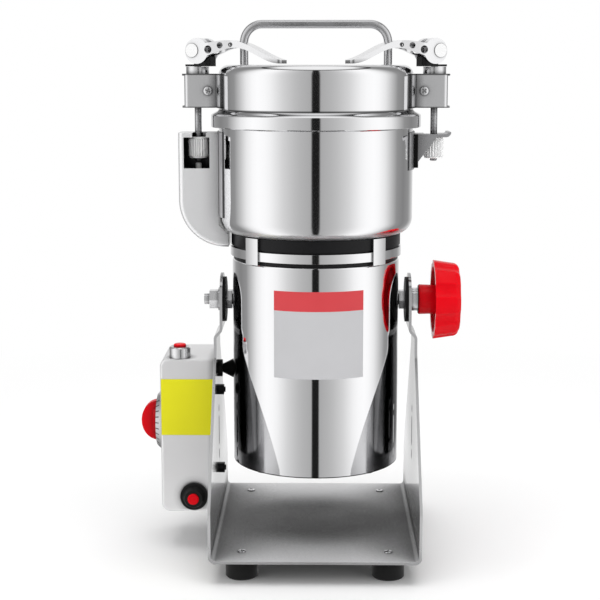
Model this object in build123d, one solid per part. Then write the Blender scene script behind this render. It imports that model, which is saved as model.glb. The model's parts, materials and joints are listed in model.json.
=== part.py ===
from build123d import *
from math import asin, atan2, cos, degrees, radians, sin, sqrt
import os

# Swing type electric grain mill. Millimetres, +Z up, front at -Y.
# Everything is built about the spindle, whose axis is x = 0, y = 0, with the floor at z = 0.
# The finished pieces are then moved so that the middle of the footprint lies on the origin.

# ---------------------------------------------------------------- clearances
FACE_GAP = 0.2            # between faces that seat on each other in different bodies
RUN_FIT = 0.06            # radial play of a pin or shaft in its bore
LOOSE_FIT = 0.3           # radial play of a screw or rod in its hole
SOCKET_FIT = 0.15         # radial play of a piece pushed into a shell

# ---------------------------------------------------------------- leading sizes
CAN_R = 60.8
BOWL_R = 70.0

# ---------------------------------------------------------------- stand
FOOT_R = 11.5
FOOT_H = 15.5
FOOT_X = CAN_R - 9.2
FOOT_Y = 73.0
FOOT_RECESS_R = 5.0
SHEET = 2.0               # steel sheet of the base frame
BEND_R = 4.0              # centre line radius of the folds
BASE_DEPTH = 188.0
ARM_SIDE_H = 36.0         # height of the arms at their full depth, above the floor plate
ARM_TOP_SLOPE_Z = 150.0   # where the sloping edges reach the pad width
PAD_R = 19.5              # rounded pad at the top of each arm
JOGGLE_H = 4.5            # height over which the joggle runs
PIVOT_Z = 186.3           # swing axis above the floor
SLOT_W = 5.0              # weight saving slots in the arms
SLOT_SPANS = ((65.0, 72.5), (75.5, 98.0), (101.0, 106.5))
PLATE_SCREW_R = 2.8
PLATE_SCREW_H = 1.2

# ---------------------------------------------------------------- swing pivots
STUD_R = 4.0
STUD_HEAD_R = 7.0
STUD_HEAD_H = 4.0
PIVOT_NUT_AF = 13.0       # across the flats
PIVOT_NUT_H = 4.2
DISC_R = 16.5             # friction discs between arms and can
DISC_T = 2.0
END_NUT_H = 6.5
WASHER_R = 8.5
WASHER_T = 1.6
STUD_TAIL = 4.0           # free thread beyond the left end nut
PAD_IN_X = CAN_R + PIVOT_NUT_H + DISC_T + 3 * FACE_GAP
PAD_OUT_X = PAD_IN_X + SHEET
ARM_OUT_X = PAD_OUT_X + 4.4   # the pads are joggled inward from the arms

# ---------------------------------------------------------------- lock knob
KNOB_R = 29.0
KNOB_T = 18.7
KNOB_WALL = 3.2
KNOB_LOBES = 8
KNOB_SCALLOP_R = 13.0
KNOB_SCALLOP_DEPTH = 1.6
KNOB_EDGE_R = 5.0
KNOB_HUB_R = 11.0
KNOB_HUB_L = 11.3         # hub behind the cup
KNOB_COLLAR_T = 5.0       # steel collar between pad and hub
KNOB_THREAD_L = 14.0      # thread of the stud inside the knob

# ---------------------------------------------------------------- motor can and neck
CAN_WALL = 1.2
CAN_Z = 67.3
CAN_H = 150.5
CAN_EDGE_R = 2.0
CAN_LIP = 14.0            # inward lip at the top of the can
NECK_H = 18.7             # from the can's top to the bowl's floor
SPACER_R = CAN_R - 0.8
SPACER_FLANGE_R = CAN_R + 0.8
SPACER_FLANGE_T = 8.3
RING_R = CAN_R + 1.4
RING_H = 6.5
RING_Z = 2.7              # above the can's top
RING_WALL = 1.8
TAB_W = 12.0
TAB_T = 1.6
TAB_COUNT = 4
TAB_FIRST_DEG = 45.0
COVER_T = 3.0
COVER_VENTS = 12
COVER_VENT_W = 3.0
COVER_VENT_R0 = 26.0
COVER_VENT_R1 = CAN_R - 12.8
COVER_SCREW_R = CAN_R - 6.8      # circle of the cover screws
COVER_SCREWS = 4
COVER_SCREW_HEAD_R = 3.0
COVER_SCREW_HEAD_H = 1.8

# ---------------------------------------------------------------- motor
SHAFT_R = 5.0
SHAFT_BOTTOM_Z = 76.0
BEARING_R = 13.0
BEARING_T = 9.0
BRACKET_T = 4.0
BRACKET_HUB_R = 17.0
BRACKET_ARM_W = 12.0
BRACKET_POST_R = 4.0
BRACKET_POST_CIRCLE = CAN_R - 17.8
BRACKET_POSTS = 4
STATOR_R = CAN_R - 10.8
STATOR_YOKE = 7.0
STATOR_Z0 = 112.0
STATOR_H = 48.0
POLE_HALF_DEG = 55.0
COIL_HALF_DEG = 30.0
COIL_OVERHANG = 8.0
AIR_GAP = 0.5
ARMATURE_R = CAN_R - 32.8
ARMATURE_INSET = 1.0
ARMATURE_SLOTS = 12
ARMATURE_SLOT_W = 3.0
ARMATURE_SLOT_D = 6.0
COMMUTATOR_R = 13.0
COMMUTATOR_H = 16.0
COMMUTATOR_GAP = 10.0     # above the armature
BRUSH_W = 6.0
BRUSH_H = 9.0
BRUSH_L = 18.0
BRUSH_WALL = 2.0
FAN_R = CAN_R - 23.8
FAN_T = 2.0
FAN_BLADES = 8
FAN_BLADE_H = 8.0
FAN_Z = 90.0

# ---------------------------------------------------------------- bowl
BOWL_WALL = 1.5
BOWL_FLOOR = 3.0
BOWL_H = 81.0
BOWL_CORNER_R = 11.0
SEAL_HOLE_R = 9.0
SEAL_FLANGE_R = 13.0
SEAL_FLANGE_T = 2.5

# ---------------------------------------------------------------- blades
BLADE_T = 2.4
BLADE_HUB_R = 11.0
BLADE_ROOT_W = 20.0
BLADE_TIP_W = 11.0
LOWER_BLADE_R = BOWL_R - 9.0
UPPER_BLADE_R = BOWL_R - 20.0
BLADE_TIP_L = 16.0        # length of the bent tips
LOWER_TIP_DEG = 0.0
UPPER_TIP_DEG = 35.0
BLADE_BEVEL = 1.6
BLADE_Z = 8.0             # lower blade above the bowl's floor
BLADE_STEP = 14.0         # from blade to blade
BLADE_TURN_DEG = 90.0
BLADE_REST_DEG = 25.0
BLADE_NUT_AF = 17.0
BLADE_NUT_H = 8.0
SPACER_TUBE_R = 8.0

# ---------------------------------------------------------------- lid
LID_R = BOWL_R
LID_WALL = 1.2
LID_H = 43.9              # from the skirt's edge to the top
LID_CORNER_R = 7.5
SKIRT_R = BOWL_R + 5.5
SKIRT_H = 8.6
FLARE_H = 3.8
SKIRT_DROP = 4.9          # the skirt's edge below the bowl's rim
GASKET_T = 2.6
GASKET_W = 7.0
HANDLE_R = 3.0
HANDLE_HALF = 51.5
HANDLE_RISE = 28.6
HANDLE_BEND_R = 13.0

# ---------------------------------------------------------------- clamps
ROD_X = BOWL_R + 15.0     # rod axis from the spindle
ROD_R = 2.5
CLAMP_YAW = 24.0          # the closed levers point this far towards the front
BRACKET_SHEET = 2.0
BRACKET_HALF_DEG = 20.0
BRACKET_HOLE_DEG = 15.5
BRACKET_HOLE_R = 2.6
BLOCK_OUT_X = ROD_X + 9.0
BLOCK_DEPTH = 22.0
BLOCK_H = 24.0
BLOCK_Z = 326.2
BLOCK_SHEET = 1.5
BLOCK_LIP = 1.6
BLOCK_SCREW_X = ROD_X - 8.0
BLOCK_SCREW_R = 4.0
BLOCK_SCREW_T = 1.8
ROD_WASHER_R = 8.3
ROD_WASHER_T = 5.0
SADDLE_OUT = 7.6          # reach of the saddle away from the lid
SADDLE_IN = 12.5          # reach of its horn towards the lid
SADDLE_D = 14.0
SADDLE_FLOOR = 1.4        # under the cam
SADDLE_HORN = 5.5         # height of the inner horn above the floor
SADDLE_PLAY = 0.6
CAM_R = 9.1
CAM_OFFSET = 3.6          # cam centre from the barrel's axis
CAM_DROP = 0.4
CAM_GAP = 0.3             # cam to saddle, closed
BARREL_R = 4.8
BARREL_HALF = 8.8
LEVER_HALF_W = 8.2        # at the head
LEVER_ARM_HALF_W = 6.2
LEVER_L = 69.0
LEVER_WEB = 1.7
LEVER_CHEEK = 1.7
LEVER_FORK_HALF = 3.3
LEVER_HOLES = ((12.8, 0.6, 2.8), (21.8, 3.5, 2.2), (29.8, 3.9, 1.6))
NUT_R = 7.2
NUT_H = 15.2
NUT_CHAMFER = 1.0
ROD_TAIL = 2.0            # rod below the thumb nut
ROD_THROW = 3.4           # the rod sinks this far when its lever is opened

# ---------------------------------------------------------------- catches
CATCH_UNDER_Z = 305.4     # underside of both catches
STRIP_T = 1.2
STRIP_HALF_DEG = 20.5
STRIP_TOP_Z = 309.5
LEFT_STRIP_H = 61.0
RIGHT_STRIP_H = 27.0
CATCH_SHEET = 2.2
CATCH_HALF_W = 12.0
CATCH_OUT_X = ROD_X + 10.6
CATCH_LIP_R = 2.6
CATCH_H = 24.0
CATCH_SLOT_W = 6.6
HOUSING_OUT_X = ROD_X + 13.6
HOUSING_DEPTH = 30.0
HOUSING_WALL = 1.5
HOUSING_TOP_T = 3.0
HOUSING_CORNER_CUT = 6.0  # slant that follows the bowl's lower corner
RING_CLEAR = 0.8           # between the neck ring and the foot of the housing
HOUSING_FOOT_X = RING_R + RING_CLEAR
HOUSING_FOOT_FLAT = 1.6    # of the foot, after the bend has run out
HOUSING_BEND_R = HOUSING_OUT_X - HOUSING_FOOT_X - HOUSING_FOOT_FLAT
HOUSING_FOOT_Z = 226.4
WINDOW_IN_X = ROD_X - 9.0
WINDOW_OUT_X = ROD_X + 9.5
WINDOW_H = 22.0
WINDOW_DROP = 0.1         # window's upper edge below the top wall
PLUNGER_R = 2.2
PLUNGER_TRAVEL = 2.1
PLUNGER_GAP = 1.5         # below the rod's end
PLUNGER_L = 12.0
SWITCH_TOP_Z = 281.0
SWITCH_H = 19.0
SWITCH_IN_X = ROD_X - 8.0
SWITCH_D = 11.0

# ---------------------------------------------------------------- switch box
BOX_OUT_X = ARM_OUT_X + 39.8
BOX_Y0 = -18.0
BOX_Y1 = 38.0
BOX_Z0 = 29.0
BOX_Z1 = 144.5
BOX_WALL = 1.5
BOX_EDGE_R = 6.0
BOX_FACE_R = 2.0
BOX_SCREW_ZS = (58.0, 118.0)
BOX_SCREW_Y = 0.0
BOX_SCREW_R = 2.0
BOX_SCREW_L = 9.0
BOX_NUT_AF = 7.0
BOX_NUT_H = 4.0
TIMER_Z = 93.0
TIMER_Y = 8.0
TIMER_SHAFT_R = 3.0
TIMER_BODY = 34.0
TIMER_BODY_D = 22.0
TIMER_SKIRT_R = 23.4
TIMER_SKIRT_T = 4.4
TIMER_SKIRT_TOP_R = 19.5
GRIP_R = 15.0
GRIP_T = 7.0
GRIP_REACH = 12.2
GRIP_BOSS_R = 10.0
GRIP_BOSS_T = 3.0
BUTTON_X = BOX_OUT_X - 14.2
BUTTON_Y = -9.5
BEZEL_R = 7.85
BEZEL_H = 8.0
BEZEL_WALL = 2.6
BEZEL_THREAD_R = 6.0
BEZEL_THREAD_L = 12.0
BUTTON_R = 4.6
BUTTON_H = 2.0
BUTTON_L = 9.0
BUTTON_TRAVEL = 2.0
RESET_X = BOX_OUT_X - 24.1
RESET_Z = 41.0
BOOT_R = 10.15
BOOT_TIP_R = 6.4
BOOT_L = 8.0
BOOT_RIM = 2.5
RESET_R = 4.2
RESET_REACH = 1.6
RESET_L = 8.0
RESET_TRAVEL = 2.5
BREAKER_W = 16.0
BREAKER_H = 16.0
BREAKER_L = 20.0
LEAD_Z = 133.0
LEAD_Y = 6.0
LEAD_R = 2.0
GROMMET_R = 6.4
GROMMET_T = 2.6
GROMMET_FLANGE_T = 2.4
GLAND_R = 7.3             # foot of the conical entry on the can
GLAND_TIP_R = 3.2
MAINS_X = BOX_OUT_X - 21.8
MAINS_Z = 50.0
MAINS_R = 8.0
MAINS_L = 12.0
MAINS_BORE_R = 3.6

# ---------------------------------------------------------------- worked-out levels
PLATE_TOP = FOOT_H + SHEET
ARM_MID_X = ARM_OUT_X - SHEET / 2
PAD_MID_X = PAD_OUT_X - SHEET / 2
CAN_TOP = CAN_Z + CAN_H
BOWL_Z = CAN_TOP + NECK_H
RIM_Z = BOWL_Z + BOWL_H
SKIRT_Z = RIM_Z - SKIRT_DROP
LID_TOP = SKIRT_Z + LID_H
STATOR_Z1 = STATOR_Z0 + STATOR_H
BLOCK_TOP = BLOCK_Z + BLOCK_H
WASHER_TOP = BLOCK_TOP + ROD_WASHER_T
SADDLE_Z = WASHER_TOP + FACE_GAP
CAM_LOW_Z = SADDLE_Z + SADDLE_FLOOR + CAM_GAP
BARREL_Z = CAM_LOW_Z + CAM_R + CAM_DROP
NUT_TOP = CATCH_UNDER_Z - FACE_GAP
NUT_Z = NUT_TOP - NUT_H
ROD_END_Z = NUT_Z - ROD_TAIL
PLUNGER_TOP = ROD_END_Z - PLUNGER_GAP
BLADE_Z0 = BOWL_Z + BOWL_FLOOR + BLADE_Z
BLADE_Z1 = BLADE_Z0 + BLADE_STEP
SHAFT_TOP = BLADE_Z1 + BLADE_T + BLADE_NUT_H + 1.5
KNOB_X = PAD_OUT_X + FACE_GAP + KNOB_COLLAR_T + FACE_GAP
KNOB_BACK_X = KNOB_X + KNOB_HUB_L
RIGHT_REACH = KNOB_BACK_X + KNOB_T
SKIRT_X = BOX_OUT_X + FACE_GAP
GRIP_X = SKIRT_X + TIMER_SKIRT_T
LEFT_REACH = GRIP_X + GRIP_REACH
SPINDLE_X = (LEFT_REACH - RIGHT_REACH) / 2     # spindle's place beside the middle of the footprint


# ================================================================ small helpers
def disc(radius, z0, z1, x=0.0, y=0.0):
    """Upright cylinder from z0 to z1."""
    return Pos(x, y, (z0 + z1) / 2) * Cylinder(radius, z1 - z0)


def ring(outer, inner, z0, z1, x=0.0, y=0.0):
    return disc(outer, z0, z1, x, y) - disc(inner, z0 - 1, z1 + 1, x, y)


def bar_x(radius, x0, x1, y=0.0, z=0.0):
    """Round bar along X."""
    return Pos((x0 + x1) / 2, y, z) * Rot(0, 90, 0) * Cylinder(radius, abs(x1 - x0))


def bar_y(radius, y0, y1, x=0.0, z=0.0):
    """Round bar along Y."""
    return Pos(x, (y0 + y1) / 2, z) * Rot(90, 0, 0) * Cylinder(radius, abs(y1 - y0))


def block(x0, x1, y0, y1, z0, z1):
    return Pos((x0 + x1) / 2, (y0 + y1) / 2, (z0 + z1) / 2) * Box(abs(x1 - x0), y1 - y0, z1 - z0)


def hexagon_x(flats, x0, x1, y=0.0, z=0.0):
    """Hexagonal prism along X."""
    face = RegularPolygon(flats / 2, 6, major_radius=False)
    return Pos(min(x0, x1), y, z) * extrude(Plane.YZ * face, amount=abs(x1 - x0))


def circles(part):
    """Round edges from the lowest to the highest."""
    return part.edges().filter_by(GeomType.CIRCLE).sort_by(Axis.Z)


def sector(outer, inner, z0, z1, middle_deg, half_deg):
    """Piece of a ring between two angles."""
    sweep_face = make_face(
        CenterArc((0, 0), outer, middle_deg - half_deg, 2 * half_deg)
        + Line(polar(outer, middle_deg + half_deg), polar(inner, middle_deg + half_deg))
        + CenterArc((0, 0), inner, middle_deg - half_deg, 2 * half_deg)
        + Line(polar(inner, middle_deg - half_deg), polar(outer, middle_deg - half_deg))
    )
    return Pos(0, 0, z0) * extrude(sweep_face, amount=z1 - z0)


def polar(radius, degrees_):
    return (radius * cos(radians(degrees_)), radius * sin(radians(degrees_)))


def mirrored(part):
    """The same piece on the other side of the spindle."""
    return mirror(part, about=Plane.YZ)


def group(*parts):
    """Separate solids that share one node."""
    return Compound([solid for part in parts for solid in part.solids()])


def spots(xs, ys):
    return [(x, y) for x in xs for y in ys]


# ================================================================ stand
def base_frame():
    """One sheet folded into a floor plate and two arms, with joggled pads at the pivots."""
    middle = FOOT_H + SHEET / 2
    joggle_top = PIVOT_Z - PAD_R - 1.0
    top = PIVOT_Z + PAD_R
    line = FilletPolyline(
        (-PAD_MID_X, top),
        (-PAD_MID_X, joggle_top),
        (-ARM_MID_X, joggle_top - JOGGLE_H),
        (-ARM_MID_X, middle),
        (ARM_MID_X, middle),
        (ARM_MID_X, joggle_top - JOGGLE_H),
        (PAD_MID_X, joggle_top),
        (PAD_MID_X, top),
        radius=BEND_R,
    )
    folded = extrude(Plane.XZ * trace(line, line_width=SHEET), amount=BASE_DEPTH / 2, both=True)
    side = arm_outline()
    frame = folded & extrude(Plane.YZ * side, amount=ARM_OUT_X + 1, both=True)
    frame -= bar_x(STUD_R + LOOSE_FIT, -ARM_OUT_X, ARM_OUT_X, 0, PIVOT_Z)
    for z0, z1 in SLOT_SPANS:
        slot = Pos(0, 0, (z0 + z1) / 2) * slot_tool(z1 - z0)
        frame -= slot
    for x, y in spots((-FOOT_X, FOOT_X), (-FOOT_Y, FOOT_Y)):
        frame -= disc(BOX_SCREW_R + LOOSE_FIT, FOOT_H - 1, PLATE_TOP + 1, x, y)
    for z in BOX_SCREW_ZS:
        frame -= bar_x(BOX_SCREW_R + LOOSE_FIT, -ARM_OUT_X - 1, -PAD_IN_X, BOX_SCREW_Y, z)
    frame -= bar_x(GROMMET_R - GROMMET_FLANGE_T + SOCKET_FIT, -ARM_OUT_X - 1, -PAD_IN_X, LEAD_Y, LEAD_Z)
    return frame


def arm_outline():
    """Side view of the arms: full depth below, sloping edges, a round pad at the pivot."""
    half = BASE_DEPTH / 2
    shoulder = PLATE_TOP + ARM_SIDE_H
    flanks = FilletPolyline(
        (-half, FOOT_H - 1),
        (-half, shoulder),
        (-PAD_R, ARM_TOP_SLOPE_Z),
        (-PAD_R, PIVOT_Z),
        (PAD_R, PIVOT_Z),
        (PAD_R, ARM_TOP_SLOPE_Z),
        (half, shoulder),
        (half, FOOT_H - 1),
        radius=[0.5, 10.0, 14.0, 0.5, 0.5, 14.0, 10.0, 0.5],
        close=True,
    )
    return make_face(flanks) + Pos(0, PIVOT_Z) * Circle(PAD_R)


def slot_tool(height):
    """Cutter for one upright slot through both arms."""
    face = Rot(0, 0, 90) * SlotOverall(height, SLOT_W)
    return extrude(Plane.YZ * face, amount=ARM_OUT_X + 1, both=True)


def feet():
    feet_ = []
    for x, y in spots((-FOOT_X, FOOT_X), (-FOOT_Y, FOOT_Y)):
        foot = disc(FOOT_R, 0, FOOT_H, x, y)
        foot = chamfer(circles(foot)[0], 1.0)
        foot -= disc(FOOT_RECESS_R, -1, FOOT_H / 2, x, y)
        foot -= disc(BOX_SCREW_R + RUN_FIT, FOOT_H / 2 - 1, FOOT_H + 1, x, y)
        feet_.append(foot)
    return group(*feet_)


def stand_screws():
    """Foot screws with their heads on the plate, and the screws and nuts of the switch box."""
    screws = []
    for x, y in spots((-FOOT_X, FOOT_X), (-FOOT_Y, FOOT_Y)):
        head = disc(PLATE_SCREW_R, PLATE_TOP, PLATE_TOP + PLATE_SCREW_H, x, y)
        head = chamfer(circles(head)[-1], PLATE_SCREW_H / 2)
        shank = disc(BOX_SCREW_R, FOOT_H / 2 - 3, PLATE_TOP + PLATE_SCREW_H / 2, x, y)
        screws.append(head + shank)
    inner = ARM_OUT_X - SHEET
    for z in BOX_SCREW_ZS:
        nut = hexagon_x(BOX_NUT_AF, -inner, -inner + BOX_NUT_H, BOX_SCREW_Y, z)
        screw = bar_x(BOX_SCREW_R, -ARM_OUT_X - 2, -ARM_OUT_X - 2 + BOX_SCREW_L, BOX_SCREW_Y, z)
        screws.append(nut + screw)
    return group(*screws)


def friction_discs():
    x1 = PAD_IN_X
    plate = bar_x(DISC_R, x1 - DISC_T, x1, 0, PIVOT_Z)
    plate -= bar_x(STUD_R + LOOSE_FIT, x1 - DISC_T - 1, x1 + 1, 0, PIVOT_Z)
    return group(plate, mirrored(plate))


def switch_box():
    """Folded box, open towards the arm that closes it."""
    x0 = -BOX_OUT_X
    x1 = -ARM_OUT_X
    shell = block(x0, x1, BOX_Y0, BOX_Y1, BOX_Z0, BOX_Z1)
    edges = shell.edges().filter_by(Axis.Y).sort_by(Axis.X)[:2]
    shell = fillet(edges, BOX_EDGE_R)
    shell = fillet(shell.faces().sort_by(Axis.Y)[0].edges().filter_by(Axis.X), BOX_FACE_R)
    hollow = block(x0 + BOX_WALL, x1 + 1, BOX_Y0 + BOX_WALL, BOX_Y1 - BOX_WALL, BOX_Z0 + BOX_WALL, BOX_Z1 - BOX_WALL)
    inner_edges = hollow.edges().filter_by(Axis.Y).sort_by(Axis.X)[:2]
    hollow = fillet(inner_edges, BOX_EDGE_R - BOX_WALL)
    shell -= hollow
    shell -= bar_x(TIMER_SHAFT_R + 2 * LOOSE_FIT, x0 - 1, x0 + BOX_WALL + 1, TIMER_Y, TIMER_Z)
    shell -= disc(BEZEL_THREAD_R + SOCKET_FIT, BOX_Z1 - BOX_WALL - 1, BOX_Z1 + 1, -BUTTON_X, BUTTON_Y)
    shell -= bar_y(BOOT_TIP_R, BOX_Y0 - 1, BOX_Y0 + BOX_WALL + 1, -RESET_X, RESET_Z)
    shell -= bar_y(MAINS_R - 2 + SOCKET_FIT, BOX_Y1 - BOX_WALL - 1, BOX_Y1 + 1, -MAINS_X, MAINS_Z)
    return shell


def button_bezel():
    """Chrome collar on the box, with the push switch's barrel below it."""
    collar = disc(BEZEL_R, BOX_Z1, BOX_Z1 + BEZEL_H, -BUTTON_X, BUTTON_Y)
    collar = chamfer(circles(collar)[-1], 0.8)
    barrel = disc(BEZEL_THREAD_R, BOX_Z1 - BEZEL_THREAD_L, BOX_Z1 + 1, -BUTTON_X, BUTTON_Y)
    bore_bottom = BOX_Z1 + BEZEL_H + BUTTON_H - BUTTON_L - BUTTON_TRAVEL - FACE_GAP
    bore = disc(BUTTON_R + RUN_FIT, bore_bottom, BOX_Z1 + BEZEL_H + 1, -BUTTON_X, BUTTON_Y)
    return collar + barrel - bore


def power_button():
    top = BOX_Z1 + BEZEL_H + BUTTON_H
    cap = disc(BUTTON_R, top - BUTTON_L, top, -BUTTON_X, BUTTON_Y)
    return fillet(circles(cap)[-1], 1.2)


def reset_boot():
    """Rubber boot: a rim on the box's front and a cone that holds the button."""
    rim = bar_y(BOOT_R, BOX_Y0 - BOOT_RIM, BOX_Y0, -RESET_X, RESET_Z)
    cone = Pos(-RESET_X, BOX_Y0 - BOOT_L / 2, RESET_Z) * Rot(90, 0, 0) * Cone(BOOT_R - 1, BOOT_TIP_R, BOOT_L)
    boot = rim + cone
    bore = bar_y(RESET_R + RUN_FIT, BOX_Y0 - BOOT_L - 1, BOX_Y0 + 1, -RESET_X, RESET_Z)
    return boot - bore


def reset_button():
    front = BOX_Y0 - BOOT_L - RESET_REACH
    button = bar_y(RESET_R, front, front + RESET_L, -RESET_X, RESET_Z)
    return fillet(button.edges().filter_by(GeomType.CIRCLE).sort_by(Axis.Y)[0], 1.0)


def overload_breaker():
    y0 = BOX_Y0 + BOX_WALL
    body = block(
        -RESET_X - BREAKER_W / 2, -RESET_X + BREAKER_W / 2,
        y0, y0 + BREAKER_L,
        RESET_Z - BREAKER_H / 2, RESET_Z + BREAKER_H / 2,
    )
    nose = bar_y(BOOT_TIP_R - SOCKET_FIT, BOX_Y0 - 0.0, y0 + 1, -RESET_X, RESET_Z)
    bore = bar_y(RESET_R + RUN_FIT, BOX_Y0 - 1, BOX_Y0 + RESET_L, -RESET_X, RESET_Z)
    return body + nose - bore


def timer_body():
    x0 = -BOX_OUT_X + BOX_WALL
    half = TIMER_BODY / 2
    body = block(x0, x0 + TIMER_BODY_D, TIMER_Y - half, TIMER_Y + half, TIMER_Z - half, TIMER_Z + half)
    shaft = bar_x(TIMER_SHAFT_R, -GRIP_X, x0 + 1, TIMER_Y, TIMER_Z)
    return body + shaft


def timer_skirt():
    """Silver dial skirt with a domed edge."""
    skirt = Pos(-SKIRT_X - TIMER_SKIRT_T / 2, TIMER_Y, TIMER_Z) * Rot(0, -90, 0) * Cone(
        TIMER_SKIRT_R, TIMER_SKIRT_TOP_R, TIMER_SKIRT_T)
    skirt -= bar_x(TIMER_SHAFT_R + RUN_FIT, -GRIP_X - 1, -SKIRT_X + 1, TIMER_Y, TIMER_Z)
    return skirt


def timer_grip():
    """Red half-moon fin on a round boss."""
    boss = bar_x(GRIP_BOSS_R, -GRIP_X - GRIP_BOSS_T, -GRIP_X, TIMER_Y, TIMER_Z)
    moon = Ellipse(GRIP_REACH, GRIP_R) & Pos(-GRIP_REACH / 2, 0) * Rectangle(GRIP_REACH, 2 * GRIP_R)
    fin = extrude(Plane.XZ * moon, amount=GRIP_T / 2, both=True)
    fin = Pos(-GRIP_X, TIMER_Y, TIMER_Z) * fin
    return boss + fin


def arm_grommet():
    """Black lead entry through the left arm, with its flange towards the can."""
    inner = ARM_OUT_X - SHEET
    flange = bar_x(GROMMET_R, -inner, -inner + GROMMET_T, LEAD_Y, LEAD_Z)
    neck = bar_x(GROMMET_R - GROMMET_FLANGE_T, -ARM_OUT_X - 1, -inner + 1, LEAD_Y, LEAD_Z)
    bore = bar_x(LEAD_R, -ARM_OUT_X - 2, -inner + GROMMET_T + 1, LEAD_Y, LEAD_Z)
    return flange + neck - bore


def mains_gland():
    """Cord entry on the back of the switch box."""
    nose = bar_y(MAINS_R - 2, BOX_Y1 - BOX_WALL - 2, BOX_Y1 + MAINS_L, -MAINS_X, MAINS_Z)
    collar = bar_y(MAINS_R, BOX_Y1, BOX_Y1 + MAINS_L / 2, -MAINS_X, MAINS_Z)
    bore = bar_y(MAINS_BORE_R, BOX_Y1 - BOX_WALL - 3, BOX_Y1 + MAINS_L + 1, -MAINS_X, MAINS_Z)
    return collar + nose - bore


# ================================================================ motor can and pivots
def motor_can():
    """Tube with an inward lip at the top and holes for the two pivot studs and the lead."""
    can = disc(CAN_R, CAN_Z, CAN_TOP)
    can = fillet(circles(can)[-1], CAN_EDGE_R)
    can -= disc(CAN_R - CAN_WALL, CAN_Z - 1, CAN_TOP - CAN_WALL)
    can -= disc(CAN_R - CAN_LIP, CAN_Z, CAN_TOP + 1)
    can -= bar_x(STUD_R + RUN_FIT, -CAN_R - 1, CAN_R + 1, 0, PIVOT_Z)
    can -= bar_x(GROMMET_R - GROMMET_FLANGE_T + SOCKET_FIT, -CAN_R - 1, -CAN_R / 2, LEAD_Y, LEAD_Z)
    return can


def can_gland():
    """Black lead entry on the can, which faces the one in the arm."""
    face_x = ARM_OUT_X - SHEET - GROMMET_T - FACE_GAP
    length = face_x - CAN_R
    cone = Pos(-CAN_R - length / 2, LEAD_Y, LEAD_Z) * Rot(0, -90, 0) * Cone(GLAND_R, GLAND_TIP_R, length)
    foot = bar_x(GLAND_R, -CAN_R, -CAN_R + 3, LEAD_Y, LEAD_Z) - disc(CAN_R, LEAD_Z - CAN_R, LEAD_Z + CAN_R)
    neck = bar_x(GROMMET_R - GROMMET_FLANGE_T, -CAN_R, -CAN_R + 5, LEAD_Y, LEAD_Z)
    bore = bar_x(LEAD_R, -face_x - 1, -CAN_R + 6, LEAD_Y, LEAD_Z)
    return cone + foot + neck - bore


def can_cover():
    """Vented cover in the bottom of the can."""
    cover = disc(CAN_R - CAN_WALL - SOCKET_FIT, CAN_Z, CAN_Z + COVER_T)
    for i in range(COVER_VENTS):
        vent = block(COVER_VENT_R0, COVER_VENT_R1, -COVER_VENT_W / 2, COVER_VENT_W / 2, CAN_Z - 1, CAN_Z + COVER_T + 1)
        cover -= Rot(0, 0, (i + 0.5) * 360 / COVER_VENTS) * vent
    for x, y in cover_screw_spots():
        cover -= disc(BOX_SCREW_R + SOCKET_FIT, CAN_Z - 1, CAN_Z + COVER_T + 1, x, y)
    return cover


def cover_screw_spots():
    return [polar(COVER_SCREW_R, 45 + i * 360 / COVER_SCREWS) for i in range(COVER_SCREWS)]


def cover_screws():
    """Screws that hold the cover to the posts of the lower bearing bracket."""
    screws = []
    for x, y in cover_screw_spots():
        head = disc(COVER_SCREW_HEAD_R, CAN_Z - COVER_SCREW_HEAD_H, CAN_Z, x, y)
        shank = disc(BOX_SCREW_R, CAN_Z - 1, CAN_Z + COVER_T + 4, x, y)
        screws.append(head + shank)
    return group(*screws)


def pivot_studs():
    """Two studs bolted through the can; the right one carries the lock knob."""
    head_x = sqrt((CAN_R - CAN_WALL) ** 2 - STUD_HEAD_R ** 2) - SOCKET_FIT
    left_end = PAD_OUT_X + FACE_GAP + WASHER_T + END_NUT_H + STUD_TAIL
    studs = []
    for side, end in ((-1, left_end), (1, KNOB_X + KNOB_THREAD_L)):
        stud = bar_x(STUD_R, side * (head_x - 1), side * end, 0, PIVOT_Z)
        head = bar_x(STUD_HEAD_R, side * (head_x - STUD_HEAD_H), side * head_x, 0, PIVOT_Z)
        studs.append(stud + head)
    return group(*studs)


def pivot_nuts():
    """Hex nuts against the can, the left end nut with its washer, and the right collar."""
    hole = bar_x(STUD_R + RUN_FIT, -RIGHT_REACH, RIGHT_REACH, 0, PIVOT_Z)
    clamp_x = PAD_IN_X - DISC_T - FACE_GAP
    clamp = hexagon_x(PIVOT_NUT_AF, clamp_x - PIVOT_NUT_H, clamp_x, 0, PIVOT_Z) - hole
    washer_x = PAD_OUT_X + FACE_GAP
    washer = bar_x(WASHER_R, -washer_x, -washer_x - WASHER_T, 0, PIVOT_Z) - hole
    end_x = washer_x + WASHER_T
    end_nut = hexagon_x(PIVOT_NUT_AF, -end_x - END_NUT_H, -end_x, 0, PIVOT_Z) - hole
    collar = bar_x(WASHER_R, washer_x, washer_x + KNOB_COLLAR_T, 0, PIVOT_Z) - hole
    return group(clamp, mirrored(clamp), washer, end_nut, collar)


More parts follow.
